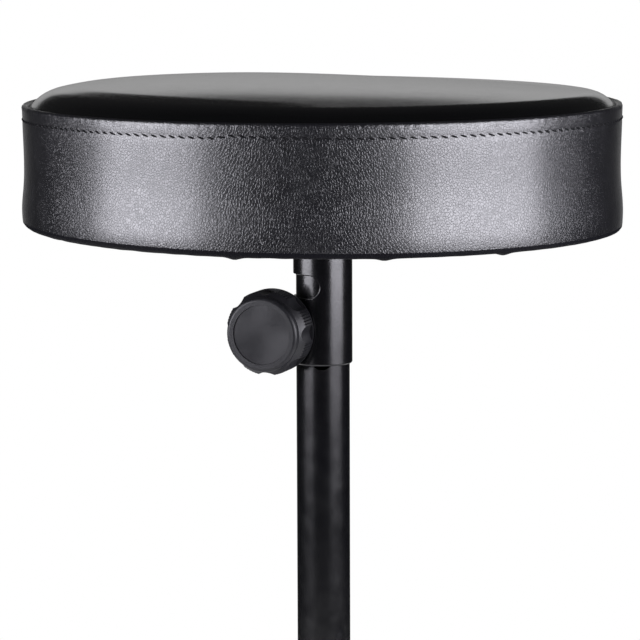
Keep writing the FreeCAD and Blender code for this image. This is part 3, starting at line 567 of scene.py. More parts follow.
@dataclass(frozen=True)
class SewingThread:
    """Black bonded thread with its twist."""

    name: str = "black_thread"
    dark: Colour = (0.002, 0.002, 0.003)
    light: Colour = (0.008, 0.008, 0.009)
    twist: float = 0.35 * MM
    twist_depth: float = 0.06 * MM
    twist_stretch: Stretch = (1.0, 1.0, 2.0)
    roughness: tuple[float, float] = (0.65, 0.8)
    specular: float = 0.2

    def material(self) -> bpy.types.Material:
        """Build the material.

        Returns:
            The finished material.
        """
        shader = Shader(self.name)
        twist = shader.noise(shader.where(self.twist_stretch), self.twist, detail=2.0)
        return shader.set(
            colour=shader.tint(twist, self.dark, self.light),
            roughness=shader.between(twist, *self.roughness, *NOISE_RANGE),
            specular=self.specular,
            normal=shader.relief([(twist, self.twist_depth)]),
        )


@dataclass(frozen=True)
class OpenFoam:
    """Pale open-cell foam."""

    name: str = "seat_foam"
    dark: Colour = (0.60, 0.56, 0.46)
    light: Colour = (0.80, 0.77, 0.68)
    pore: float = 1.5 * MM
    pore_depth: float = 0.3 * MM
    roughness: tuple[float, float] = (0.85, 0.95)

    def material(self) -> bpy.types.Material:
        """Build the material.

        Returns:
            The finished material.
        """
        shader = Shader(self.name)
        pores = shader.cells(shader.where(), self.pore, Cells.CENTRES)
        return shader.set(
            colour=shader.tint(pores, self.light, self.dark),
            roughness=shader.between(pores, *self.roughness),
            normal=shader.relief([(pores, self.pore_depth)]),
        )


# The same vinyl where the band folds under the board, and where the top is drawn smooth.
FOLDED_VINYL = GrainedVinyl(name="folded_vinyl", roughness=(0.5, 0.6), specular=0.12, coat=0.0)
STRETCHED_VINYL = GrainedVinyl(
    name="stretched_vinyl",
    grain_depth=0.01 * MM,
    crease_depth=0.008 * MM,
    roughness=(0.12, 0.15),
    coat_roughness=0.10,
)
KNOB_CAP_PLASTIC = MouldedPlastic(
    name="knob_cap_plastic",
    dark=(0.010, 0.010, 0.012),
    light=(0.024, 0.024, 0.027),
    cloud=16 * MM,
    sink=18 * MM,
    sink_depth=1.6 * MM,
    roughness=(0.30, 0.42),
)
ZINC_PLATE = PlatedMetal("zinc_plate", dark=(0.46, 0.46, 0.43), light=(0.66, 0.66, 0.64))
TURNED_BRASS = PlatedMetal("turned_brass", dark=(0.55, 0.38, 0.15), light=(0.75, 0.56, 0.27))


def smooth_object(
    name: str,
    corners: Sequence[Sequence[float]],
    faces: Sequence[Sequence[int]],
) -> bpy.types.Object:
    """Make a mesh object with smooth faces.

    Args:
        name: the object's name.
        corners: its points, in metres.
        faces: the corners of each face, by number.

    Returns:
        The new object.
    """
    mesh = bpy.data.meshes.new(name)
    mesh.from_pydata(corners, [], faces)
    mesh.polygons.foreach_set("use_smooth", [True] * len(faces))
    mesh.update()
    piece = bpy.data.objects.new(name, mesh)
    bpy.context.scene.collection.objects.link(piece)
    return piece


def grid_mesh(name: str, points: np.ndarray, apex: Optional[Vector] = None) -> bpy.types.Object:
    """Make an object from rows of points that close round the pole's axis.

    Args:
        name: the object's name.
        points: rows by columns by 3 numbers, in metres.
        apex: a point that closes the last row.

    Returns:
        The new object, with smooth faces that look outwards for rows that run from below to above.
    """
    rows, columns = points.shape[:2]
    corners = [tuple(point) for point in points.reshape(-1, 3)]
    faces: list[tuple[int, ...]] = []
    for row in range(rows - 1):
        for column in range(columns):
            following = (column + 1) % columns
            low, high = row * columns, (row + 1) * columns
            faces.append((low + column, low + following, high + following, high + column))
    if apex is not None:
        corners.append(tuple(apex))
        last = (rows - 1) * columns
        for column in range(columns):
            faces.append((last + column, last + (column + 1) % columns, len(corners) - 1))
    return smooth_object(name, corners, faces)


def thicken(piece: bpy.types.Object, thickness: float) -> None:
    """Give a skin its thickness, inwards.

    Args:
        piece: the skin.
        thickness: in metres.
    """
    modifier = piece.modifiers.new("thickness", "SOLIDIFY")
    modifier.thickness = thickness
    modifier.offset = -1.0
    depsgraph = bpy.context.evaluated_depsgraph_get()
    solid = bpy.data.meshes.new_from_object(piece.evaluated_get(depsgraph))
    piece.modifiers.clear()
    skin = piece.data
    piece.data = solid
    bpy.data.meshes.remove(skin)
    piece.data.name = piece.name


def arc(centre: tuple[float, float], radius: float, start: float, end: float, count: int = 9) -> np.ndarray:
    """Give the points of an arc.

    Args:
        centre: its centre.
        radius: its radius.
        start: its first angle in degrees.
        end: its last angle in degrees.
        count: how many points.

    Returns:
        The points, count by 2.
    """
    turn = np.radians(np.linspace(start, end, count))
    return np.stack([centre[0] + radius * np.cos(turn), centre[1] + radius * np.sin(turn)], axis=1)


def even_steps(line: np.ndarray, step: float) -> np.ndarray:
    """Space a line's points evenly.

    Args:
        line: its points, in order.
        step: about how far apart they come, in metres.

    Returns:
        The new points, from the first to the last.
    """
    run = np.concatenate([[0.0], np.cumsum(np.linalg.norm(np.diff(line, axis=0), axis=1))])
    at = np.linspace(0.0, run[-1], max(2, round(run[-1] / step) + 1))
    return np.stack([np.interp(at, run, line[:, axis]) for axis in range(line.shape[1])], axis=1)


def even_turns(count: int) -> np.ndarray:
    """Give evenly spaced angles once round, in radians."""
    return np.linspace(0.0, 2 * math.pi, count, endpoint=False)


def degrees_past(turn: np.ndarray, mark: float) -> np.ndarray:
    """Give how far angles in radians lie past a mark in degrees, from -180 to 180 degrees."""
    return (np.degrees(turn) - mark + 180.0) % 360.0 - 180.0


def bell(offset: np.ndarray, width: float) -> np.ndarray:
    """Give a smooth hump of height 1 at offset 0."""
    return np.exp(-((offset / width) ** 2))


def ripple(turn: np.ndarray, waves: Sequence[int], seed: int) -> np.ndarray:
    """Give an irregular wave round the seat that closes on itself.

    Args:
        turn: angles in radians.
        waves: how many waves of each kind go round.
        seed: picks the waves' phases.

    Returns:
        Values from about -1 to 1.
    """
    phases = np.random.default_rng(seed).uniform(0.0, 2 * math.pi, len(waves))
    total = sum(np.cos(count * turn + phase) for count, phase in zip(waves, phases))
    return total / len(waves)


@dataclass(frozen=True)
class AirPressure:
    """A short cloth simulation that swells a cover between the rows that hold it."""

    pressure: float = 4.0
    frames: int = 20
    cap: float = 5 * MM
    mass: float = 0.3
    stiffness: float = 20.0
    bending: float = 8.0
    quality: int = 6

    def swell(self, points: np.ndarray, apex: Vector, holds: np.ndarray) -> np.ndarray:
        """Run the simulation.

        Args:
            points: the cover's rows, rows by columns by 3.
            apex: the point that closes the last row.
            holds: for each row, how firmly it stays in place, from 0 to 1.

        Returns:
            How far each point moved, rows by columns by 3, capped.
        """
        scene = bpy.context.scene
        cover = grid_mesh("swelling_cover", points, apex)
        group = cover.vertex_groups.new(name="held")
        columns = points.shape[1]
        for row, weight in enumerate(holds):
            group.add(list(range(row * columns, (row + 1) * columns)), float(weight), "REPLACE")
        settings = self.configure(cover, group.name)
        scene.frame_set(1)
        for step in range(1, self.frames + 1):
            scene.frame_set(step)
        depsgraph = bpy.context.evaluated_depsgraph_get()
        moved = np.zeros(3 * len(cover.data.vertices), np.float32)
        cover.evaluated_get(depsgraph).data.vertices.foreach_get("co", moved)
        LOG.info("cover swelled under pressure %.1f", settings.uniform_pressure_force)
        mesh = cover.data
        bpy.data.objects.remove(cover)
        bpy.data.meshes.remove(mesh)
        scene.frame_set(1)
        shift = moved.reshape(-1, 3)[: points.shape[0] * columns].reshape(points.shape) - points
        length = np.maximum(np.linalg.norm(shift, axis=2, keepdims=True), TINY)
        return shift * np.minimum(1.0, self.cap / length)

    def configure(self, cover: bpy.types.Object, held: str) -> bpy.types.ClothSettings:
        """Add the cloth to the cover.

        Args:
            cover: the cover.
            held: the name of the vertex group that holds it.

        Returns:
            The cloth's settings.
        """
        cloth = cover.modifiers.new("pressure", "CLOTH")
        cloth.point_cache.frame_start = 1
        cloth.point_cache.frame_end = self.frames
        cloth.collision_settings.use_collision = False
        settings = cloth.settings
        settings.quality = self.quality
        settings.mass = self.mass
        settings.tension_stiffness = self.stiffness
        settings.compression_stiffness = self.stiffness
        settings.shear_stiffness = self.stiffness / 2
        settings.bending_stiffness = self.bending
        settings.use_pressure = True
        settings.uniform_pressure_force = self.pressure
        settings.vertex_group_mass = held
        settings.effector_weights.gravity = 0.0
        return settings


@dataclass(frozen=True)
class Swelling:
    """How far a swelled cover moved, row by row."""

    shares: np.ndarray
    shifts: np.ndarray

    def at(self, rows: np.ndarray) -> np.ndarray:
        """Read the movement between the rows that were swelled.

        Args:
            rows: row shares, 0 to 1 on the band and 1 to 2 on the top.

        Returns:
            The movements, rows by columns by 3.
        """
        index = np.interp(rows, self.shares, np.arange(len(self.shares)))
        low = np.minimum(index.astype(int), len(self.shares) - 2)
        part = (index - low)[:, None, None]
        return self.shifts[low] * (1 - part) + self.shifts[low + 1] * part


@dataclass(frozen=True)
class Topstitch:
    """The line of short black stitches on the band, a little below the seam."""

    drop: float = 6.7 * MM
    count: int = 192
    length_share: float = 0.72
    slant: float = 0.9 * MM
    wander: float = 0.35 * MM
    # How the thread draws the band in.
    dent: float = 0.35 * MM
    dent_width: float = 1.1 * MM
    hole_share: float = 0.35
    tension_share: float = 0.2
    # The thread of one stitch.
    thread_radius: float = 0.50 * MM
    thread_end: float = 0.12
    thread_bow: float = 0.22 * MM
    thread_sink: float = 0.10 * MM
    thread_sides: int = 6
    thread_sections: int = 5
    # Where the line's two ends join, in degrees from the front.
    join_turn: float = -18.5
    join_step: float = 1.4 * MM
    join_fade: float = 14.0

    def rise(self, turn: np.ndarray) -> np.ndarray:
        """Give how far the line runs above its level: it steps at the join and comes back.

        Args:
            turn: angles from the front, in radians.

        Returns:
            The rise at each angle, in metres.
        """
        past = degrees_past(turn, self.join_turn)
        step = self.join_step * np.exp(-np.clip(past, 0.0, None) / self.join_fade)
        return np.where(past > 0.0, step, 0.0) + self.wander * ripple(turn, (2, 3, 5), seed=11)

    def pull(self, turn: np.ndarray) -> np.ndarray:
        """Give how deep the thread draws the band in: most at the holes, and uneven round the seat.

        Args:
            turn: angles from the front, in radians.

        Returns:
            The depth at each angle, in metres.
        """
        holes = 1.0 - self.hole_share + self.hole_share * np.cos(self.count * turn)
        tension = 1.0 - self.tension_share + self.tension_share * ripple(turn, (7, 11, 17), seed=5)
        return holes * tension * self.dent

    def thread(self, start: np.ndarray, middle: np.ndarray, end: np.ndarray) -> list[np.ndarray]:
        """Give the points of one stitch: a short bowed thread that lies a little aslant.

        Args:
            start: where its pitch begins on the band.
            middle: the band's point halfway.
            end: where its pitch ends.

        Returns:
            Ring after ring of points round the thread.
        """
        out = np.array([middle[0], middle[1], 0.0])
        out /= np.linalg.norm(out)
        along = (end - start) / np.linalg.norm(end - start)
        up = np.cross(out, along)
        corners = []
        for section in range(self.thread_sections):
            part = section / (self.thread_sections - 1)
            share = 0.5 + (part - 0.5) * self.length_share
            swell = math.sin(math.pi * (self.thread_end + (1 - 2 * self.thread_end) * part))
            centre = start + (end - start) * share + out * (self.thread_bow * swell - self.thread_sink)
            centre = centre - up * (self.slant * (part - 0.5))
            for angle in even_turns(self.thread_sides):
                spoke = out * math.cos(angle) + up * math.sin(angle)
                corners.append(centre + self.thread_radius * swell * spoke)
        return corners

    def build(self, seats: np.ndarray) -> bpy.types.Object:
        """Lay one short thread in the dents for each stitch.

        Args:
            seats: points of the line on the finished band, once round.

        Returns:
            The stitches, as one object.
        """
        pitch = len(seats) // self.count
        sides, sections = self.thread_sides, self.thread_sections
        corners: list[np.ndarray] = []
        faces: list[tuple[int, ...]] = []
        for column in range(0, len(seats), pitch):
            base = len(corners)
            corners += self.thread(
                seats[column], seats[column + pitch // 2], seats[(column + pitch) % len(seats)])
            for section in range(sections - 1):
                low, high = base + section * sides, base + (section + 1) * sides
                for side in range(sides):
                    following = (side + 1) % sides
                    faces.append((low + side, high + side, high + following, low + following))
            faces.append(tuple(base + side for side in range(sides)))
            faces.append(tuple(base + (sections - 1) * sides + side for side in reversed(range(sides))))
        return smooth_object("seat_topstitch", [tuple(corner) for corner in corners], faces)


@dataclass
class SeatCover:
    """The seat's vinyl cover: a crowned top panel sewn to a side band that wraps under the board."""

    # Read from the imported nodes. Heights below are measured from the underside.
    underside: float
    seam_height: float
    crown_height: float
    radius: float
    seam_radius: float
    topstitch: Topstitch = Topstitch()
    thickness: float = 1.2 * MM
    # The side band's outline, with its belly and waist, and the lip at the seam.
    band_inset: float = 0.1 * MM
    hem_radius: float = HEM_RADIUS
    lower_round: float = 1.9 * MM
    belly: float = 0.9 * MM
    belly_share: float = 0.12
    belly_width: float = 0.2
    waist: float = 0.5 * MM
    lip_rise: float = 0.8 * MM
    lip_round: float = 1.3 * MM
    lip_turn: float = 105.0
    groove_inset: float = 0.3 * MM
    groove_depth: float = 1.3 * MM
    groove_gap: float = 0.2 * MM
    # The top panel's outline: a round shoulder and a shallow crown, which the swelling lifts.
    shoulder_inset: float = 13 * MM
    shoulder_drop: float = 3.5 * MM
    shoulder_round: float = 15.3 * MM
    shoulder_start: float = 28.0
    crown_hole: float = 4 * MM
    rise: float = 1 * MM
    # How the padding and the hem have settled.
    crown_lean: float = 2.3 * MM
    lean_reach: float = 60 * MM
    lean_fade: float = 26 * MM
    hem_hold: float = 0.5 * MM
    hem_lift: float = 0.75 * MM
    hem_lean: float = 1.5 * MM
    hem_reach: float = 12 * MM
    # Puckers of the lip over the stitches.
    pucker_drop: float = 0.6 * MM
    pucker_reach: float = 1.6 * MM
    pucker_stitch: float = 0.16 * MM
    pucker_wander: float = 0.28 * MM
    # Pleats of the hem, in degrees from the front. Some of their sizes are in lower rounds.
    pleats: tuple[float, ...] = (-16.0, 11.0, 34.5, 101.0, 140.0, 171.0, -158.0, -121.0, -95.0)
    pleat_width: float = 1.3
    pleat_depth: float = 1.1 * MM
    pleat_ruffle: float = 0.12
    pleat_inset_rounds: float = 1.6
    pleat_reach_rounds: float = 1.1
    pleat_top_rounds: float = 0.6
    # How fine the meshes are.
    row_step: float = 1.1 * MM
    top_step: float = 2.2 * MM
    sim_step: float = 4.0 * MM
    columns: int = 576
    sim_columns: int = 144
    side_rows: int = 40
    crown_rows: int = 60
    shoulder_rows: int = 12
    even_waves: int = 3

    @classmethod
    def from_frame(cls) -> "SeatCover":
        """Read the cover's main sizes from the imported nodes.

        Returns:
            The cover.
        """
        band_low, band_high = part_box("side_band")
        _, top_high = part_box("top_panel")
        return cls(
            underside=band_low.z,
            seam_height=band_high.z - band_low.z + cls.lip_rise,
            crown_height=top_high.z - band_low.z,
            radius=band_high.x - cls.band_inset,
            seam_radius=top_high.x,
        )

    def side_radius(self, height: np.ndarray) -> np.ndarray:
        """Give the band's radius on its side, which has a belly low down and a waist above it.

        Args:
            height: heights above the underside, in metres.

        Returns:
            The radius at each height.
        """
        share = (height - self.lower_round) / (self.seam_height - self.lip_round - self.lower_round)
        drawn = self.waist * np.sin(math.pi * np.clip(share, 0.0, 1.0)) ** 2
        return self.radius + self.belly * bell(share - self.belly_share, self.belly_width) - drawn

    def band_line(self) -> np.ndarray:
        """Give the band's outline, from the hem under the board up into the seam's groove.

        Returns:
            Radius and height above the underside of each point.
        """
        foot = self.radius - self.lower_round
        lip = self.seam_height - self.lip_round
        heights = np.linspace(self.lower_round, lip, self.side_rows)[1:-1]
        side = np.stack([self.side_radius(heights), heights], axis=1)
        groove = [self.seam_radius - self.groove_inset, self.seam_height - self.groove_depth]
        foot += float(self.side_radius(np.array([self.lower_round]))[0]) - self.radius
        return np.concatenate([
            [[self.hem_radius, 0.0]],
            arc((foot, self.lower_round), self.lower_round, -90, 0),
            side,
            arc((self.radius - self.lip_round, lip), self.lip_round, 0, self.lip_turn),
            [groove],
        ])

    def top_line(self) -> np.ndarray:
        """Give the top panel's outline, from the seam's groove to just short of the crown's middle.

        Returns:
            Radius and height above the underside of each point.
        """
        groove = np.array([self.seam_radius - self.groove_inset, self.seam_height - self.groove_depth])
        shoulder = self.seam_radius - self.shoulder_inset
        rise = self.shoulder_drop
        bend = (shoulder ** 2 + rise ** 2) / (2 * rise)
        reach = np.linspace(shoulder, self.crown_hole, self.crown_rows)
        height = self.crown_height - self.rise
        crown = np.stack([reach, height - bend + np.sqrt(bend ** 2 - reach ** 2)], axis=1)
        slope = math.degrees(math.asin(shoulder / bend))
        centre = crown[0] - self.shoulder_round * np.array(
            [math.sin(math.radians(slope)), math.cos(math.radians(slope))])
        fall = arc(tuple(centre), self.shoulder_round, self.shoulder_start, 90 - slope, self.shoulder_rows)
        fall = fall[fall[:, 0] < groove[0] - self.groove_gap]
        return np.concatenate([[groove], fall, crown[1:]])

    def turned(self, line: np.ndarray, columns: int) -> np.ndarray:
        """Turn an outline round the pole's axis.

        Args:
            line: radius and height above the underside, per row.
            columns: how many columns go round, from the front.

        Returns:
            Points, rows by columns by 3.
        """
        turn = even_turns(columns)
        points = np.empty((len(line), columns, 3))
        points[:, :, 0] = line[:, :1] * np.sin(turn)
        points[:, :, 1] = -line[:, :1] * np.cos(turn)
        points[:, :, 2] = self.underside + line[:, 1:]
        return points

    def swelled(self) -> Swelling:
        """Swell a coarse cover and spread its movement to every column.

        Returns:
            The movement, by row shares that run from 0 to 1 on the band and from 1 to 2 on the top.
        """
        band = even_steps(self.band_line(), self.sim_step)
        top = even_steps(self.top_line(), self.sim_step)
        line = np.concatenate([band, top[1:]])
        shares = np.concatenate([np.linspace(0, 1, len(band)), np.linspace(1, 2, len(top))[1:]])
        held = (line[:, 1] < self.hem_hold) | (np.arange(len(line)) == len(band))
        held[: len(band)] |= band[:, 1] > self.stitch_level() - 0.5 * self.sim_step
        apex = Vector((0.0, 0.0, self.underside + self.crown_height - self.rise))
        shift = AirPressure().swell(self.turned(line, self.sim_columns), apex, held.astype(float))
        LOG.info("cover rises %.1f mm and spreads %.1f mm", shift[-1, :, 2].mean() / MM,
                 np.linalg.norm(shift[: len(band), :, :2], axis=2).max() / MM)
        shift[len(band):] *= self.rise / shift[-1, :, 2].mean()
        shift = self.evened(shift)
        coarse = np.linspace(0, 1, self.sim_columns + 1)
        fine = np.linspace(0, 1, self.columns, endpoint=False)
        around = np.concatenate([shift, shift[:, :1]], axis=1)
        wide = np.stack([
            np.stack([np.interp(fine, coarse, row[:, axis]) for axis in range(3)], axis=1) for row in around])
        return Swelling(shares, wide)

    def evened(self, shift: np.ndarray) -> np.ndarray:
        """Even a movement out round the seat, as the foam under the cover does.

        Args:
            shift: movements, rows by columns by 3.

        Returns:
            The movements, mostly outward and up, with the fine wrinkles gone.
        """
        turn = even_turns(shift.shape[1])
        outward = np.stack([np.sin(turn), -np.cos(turn)], axis=1)
        spread = np.sum(shift[:, :, :2] * outward, axis=2)
        kept = np.zeros((len(shift), shift.shape[1], 2))
        for part, values in enumerate((spread, shift[:, :, 2])):
            waves = np.fft.rfft(values, axis=1)
            waves[:, self.even_waves + 1:] = 0.0
            kept[:, :, part] = np.fft.irfft(waves, values.shape[1], axis=1)
        return np.concatenate([outward * kept[:, :, :1], kept[:, :, 1:]], axis=2)

    def stitch_level(self) -> float:
        """Give the topstitch's height above the underside."""
        return self.seam_height - self.topstitch.drop

    def settle_hem(self, points: np.ndarray, line: np.ndarray) -> None:
        """Draw the band's lower edge up, more on the left than on the right.

        Args:
            points: the band's points, changed in place.
            line: radius and height of each row.
        """
        lift = self.hem_lift - self.hem_lean * np.sin(even_turns(self.columns))
        low = bell(line[:, 1:], self.hem_reach)
        outer = np.clip(1.0 + (line[:, :1] - self.radius) / self.hem_reach, 0.0, 1.0)
        points[:, :, 2] += lift * low * outer ** 2

    def settle_crown(self, points: np.ndarray, line: np.ndarray) -> None:
        """Let the crown's padding lie high on the left and low at the back on the right.

        Args:
            points: the top panel's points, changed in place.
            line: radius and height of each row.
        """
        inside = np.clip((self.seam_radius - line[:, :1]) / self.lean_fade, 0.0, 1.0)
        across = np.tanh(points[:, :, 0] / self.lean_reach)
        back = np.tanh(points[:, :, 1] / self.lean_reach)
        lean = self.crown_lean * across * np.where(across < 0.0, 1.0, 0.5 + 0.5 * back)
        points[:, :, 2] -= lean * inside * inside * (3.0 - 2.0 * inside)

    def sew(self, points: np.ndarray, line: np.ndarray) -> None:
        """Work the sewing into the band: the topstitch's dents, the lip's puckers and the hem's pleats.

        Args:
            points: the band's points, changed in place.
            line: radius and height of each row before the sewing.
        """
        turn = even_turns(self.columns)
        outward = np.stack([np.sin(turn), -np.cos(turn), np.zeros_like(turn)], axis=1)
        level = self.stitch_level() + self.topstitch.rise(turn)
        side = (line[:, :1] > self.radius - self.lip_round).astype(float)
        across = bell(line[:, 1:] - level, self.topstitch.dent_width) * side
        points -= outward * (across * self.topstitch.pull(turn))[:, :, None]
        lip = bell(line[:, 1:] - (self.seam_height - self.pucker_drop), self.pucker_reach) * side
        pucker = self.pucker_stitch * np.cos(self.topstitch.count * turn)
        pucker = pucker + self.pucker_wander * ripple(turn, (23, 31, 47, 71), seed=3)
        points += outward * (lip * pucker)[:, :, None]
        fold = sum(bell(degrees_past(turn, at), self.pleat_width) for at in self.pleats)
        fold = fold + self.pleat_ruffle * (1 + ripple(turn, (37, 53, 67, 89), seed=8))
        crest = self.radius - self.pleat_inset_rounds * self.lower_round
        under = bell(line[:, :1] - crest, self.pleat_reach_rounds * self.lower_round)
        under = under * (line[:, 1:] < self.pleat_top_rounds * self.lower_round)
        points[:, :, 2] -= under * fold * self.pleat_depth

    def build(
        self,
        vinyl: bpy.types.Material,
        folded: bpy.types.Material,
        stretched: bpy.types.Material,
        thread: bpy.types.Material,
    ) -> list[bpy.types.Object]:
        """Build the band, the top panel and the topstitch.

        Args:
            vinyl: the band's material.
            folded: the material where the band folds under the board.
            stretched: the top panel's material.
            thread: the stitches' material.

        Returns:
            The three pieces.
        """
        swelling = self.swelled()
        band_line = even_steps(self.band_line(), self.row_step)
        band_points = self.turned(band_line, self.columns) + swelling.at(np.linspace(0, 1, len(band_line)))
        self.settle_hem(band_points, band_line)
        self.sew(band_points, band_line)
        band = grid_mesh("seat_side_band", band_points)
        top_line = even_steps(self.top_line(), self.top_step)
        top_points = self.turned(top_line, self.columns) + swelling.at(np.linspace(1, 2, len(top_line)))
        self.settle_crown(top_points, top_line)
        middle = Vector((0.0, 0.0, float(top_points[-1, :, 2].mean())))
        top = grid_mesh("seat_top_panel", top_points, middle)
        stitches = self.topstitch.build(self.stitch_seats(band_points, band_line))
        for piece, material in ((band, vinyl), (band, folded), (top, stretched), (stitches, thread)):
            piece.data.materials.append(material)
        folds = np.repeat(band_line[:-1, 1] < self.lower_round, self.columns)
        band.data.polygons.foreach_set("material_index", folds.astype(np.int32))
        for piece in (band, top):
            thicken(piece, self.thickness)
        for piece in (band, top, stitches):
            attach(piece, "seat")
        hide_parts("side_band")
        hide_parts("top_panel", "foam_pad")
        return [band, top, stitches]

    def stitch_seats(self, points: np.ndarray, line: np.ndarray) -> np.ndarray:
        """Find where the topstitch runs on the finished band.

        Args:
            points: the finished band's points.
            line: radius and height of each row before the sewing.

        Returns:
            One point for each column.
        """
        outer = np.flatnonzero(line[:, 0] > self.radius - self.lip_round)
        level = self.stitch_level() + self.topstitch.rise(even_turns(self.columns))
        return np.stack([
            [np.interp(level[column], line[outer, 1], points[outer, column, axis]) for axis in range(3)]
            for column in range(self.columns)])


@dataclass
class DustCloth:
    """The cloth stapled under the seat: flat under the plate, slack between plate and hem."""

    underside: float
    radius: float
    inner_radius: float = 8 * MM
    plate_reach: float = 62 * MM
    hem_radius: float = HEM_RADIUS
    thickness: float = 0.5 * MM
    under_plate: float = 0.85 * MM
    over_hem: float = 0.32 * MM
    slack: float = 1.1 * MM
    slack_share: float = 0.5
    slack_wander: float = 0.28
    staple_count: int = 24
    staple_pull: float = 0.16 * MM
    staple_reach: float = 16 * MM
    columns: int = 240
    step: float = 3 * MM

    @classmethod
    def from_frame(cls) -> "DustCloth":
        """Read the cloth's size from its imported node.

        Returns:
            The cloth.
        """
        _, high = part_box("bottom_cloth")
        band_low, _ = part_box("side_band")
        return cls(underside=band_low.z, radius=high.x)

    def build(self, material: bpy.types.Material) -> bpy.types.Object:
        """Build the cloth.

        Args:
            material: its material.

        Returns:
            The cloth, as one thin sheet.
        """
        reach = even_steps(np.array([[self.radius, 0.0], [self.inner_radius, 0.0]]), self.step)[:, 0]
        turn = even_turns(self.columns)
        inward = np.clip((self.hem_radius - reach) / (self.hem_radius - self.plate_reach), 0.0, 1.0)
        height = -self.over_hem + (self.under_plate + self.over_hem) * inward
        sag = np.sin(math.pi * inward) ** 2
        waves = self.slack_share + self.slack_wander * ripple(turn, (5, 9, 13, 19), seed=21)
        pull = self.staple_pull * np.cos(self.staple_count * turn)
        pull = pull * bell(reach[:, None] - self.hem_radius, self.staple_reach)
        drop = sag[:, None] * waves * self.slack + pull * (reach[:, None] < self.hem_radius)
        points = np.empty((len(reach), self.columns, 3))
        points[:, :, 0] = reach[:, None] * np.cos(turn)
        points[:, :, 1] = reach[:, None] * np.sin(turn)
        points[:, :, 2] = self.underside + height[:, None] - drop
        cloth = grid_mesh("seat_dust_cloth", points[::-1])
        thicken(cloth, self.thickness)
        cloth.data.materials.append(material)
        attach(cloth, "seat")
        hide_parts("bottom_cloth")
        return cloth


@dataclass
class Hardware:
    """The rigid pieces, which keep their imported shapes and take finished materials."""

    cap_nodes: tuple[str, ...] = ("seat_knob_cap", "base_knob_cap")

    def finishes(self) -> dict[Slot, bpy.types.Material]:
        """Build one material for each of the record's finishes.

        Returns:
            The materials.
        """
        return {
            Slot.VINYL: GrainedVinyl().material(),
            Slot.FOAM: OpenFoam().material(),
            Slot.PLYWOOD: Plywood().material(),
            Slot.DUST_CLOTH: NonWovenCloth().material(),
            Slot.ZINC: ZINC_PLATE.material(),
            Slot.BLACK_STEEL: PowderCoat().material(),
            Slot.BLACK_CASTING: CastPaint().material(),
            Slot.BLACK_PLASTIC: MouldedPlastic().material(),
            Slot.NYLON: Nylon().material(),
            Slot.BRASS: TURNED_BRASS.material(),
            Slot.RUBBER: Rubber().material(),
        }

    def dress(self, finishes: Mapping[Slot, bpy.types.Material]) -> list[bpy.types.Object]:
        """Put each finish on the nodes that the record gives it to.

        Args:
            finishes: the materials.

        Returns:
            The dressed nodes.
        """
        cap = KNOB_CAP_PLASTIC.material()
        nodes = []
        for row in frame["record"]["subparts"]:
            node = frame["nodes"][row["node"]]
            material = cap if row["node"] in self.cap_nodes else finishes[Slot(row["material_slot"])]
            node.data.materials.clear()
            node.data.materials.append(material)
            nodes.append(node)
        return nodes


@dataclass(frozen=True)
class Softbox:
    """A rectangular studio lamp that faces the stool."""

    name: str
    turn: float
    distance: float
    height: float
    width: float
    tall: float
    power: float
    colour: Colour = (0.93, 0.92, 1.0)

    def place(self, flagged: bpy.types.Collection) -> bpy.types.Object:
        """Set the lamp up at its turn from the camera's side of the stool.

        Args:
            flagged: holds the pieces that a flag keeps the lamp's light off.

        Returns:
            The lamp.
        """
        data = bpy.data.lights.new(self.name, "AREA")
        data.shape = "RECTANGLE"
        data.size = self.width
        data.size_y = self.tall
        data.energy = self.power
        data.color = self.colour
        lamp = bpy.data.objects.new(self.name, data)
        bpy.context.scene.collection.objects.link(lamp)
        turn = math.radians(self.turn)
        lamp.location = (self.distance * math.sin(turn), -self.distance * math.cos(turn), self.height)
        aim = Vector((0.0, 0.0, self.height)) - lamp.location
        lamp.rotation_mode = "QUATERNION"
        lamp.rotation_quaternion = aim.to_track_quat("-Z", "Y")
        lamp.light_linking.receiver_collection = flagged
        return lamp


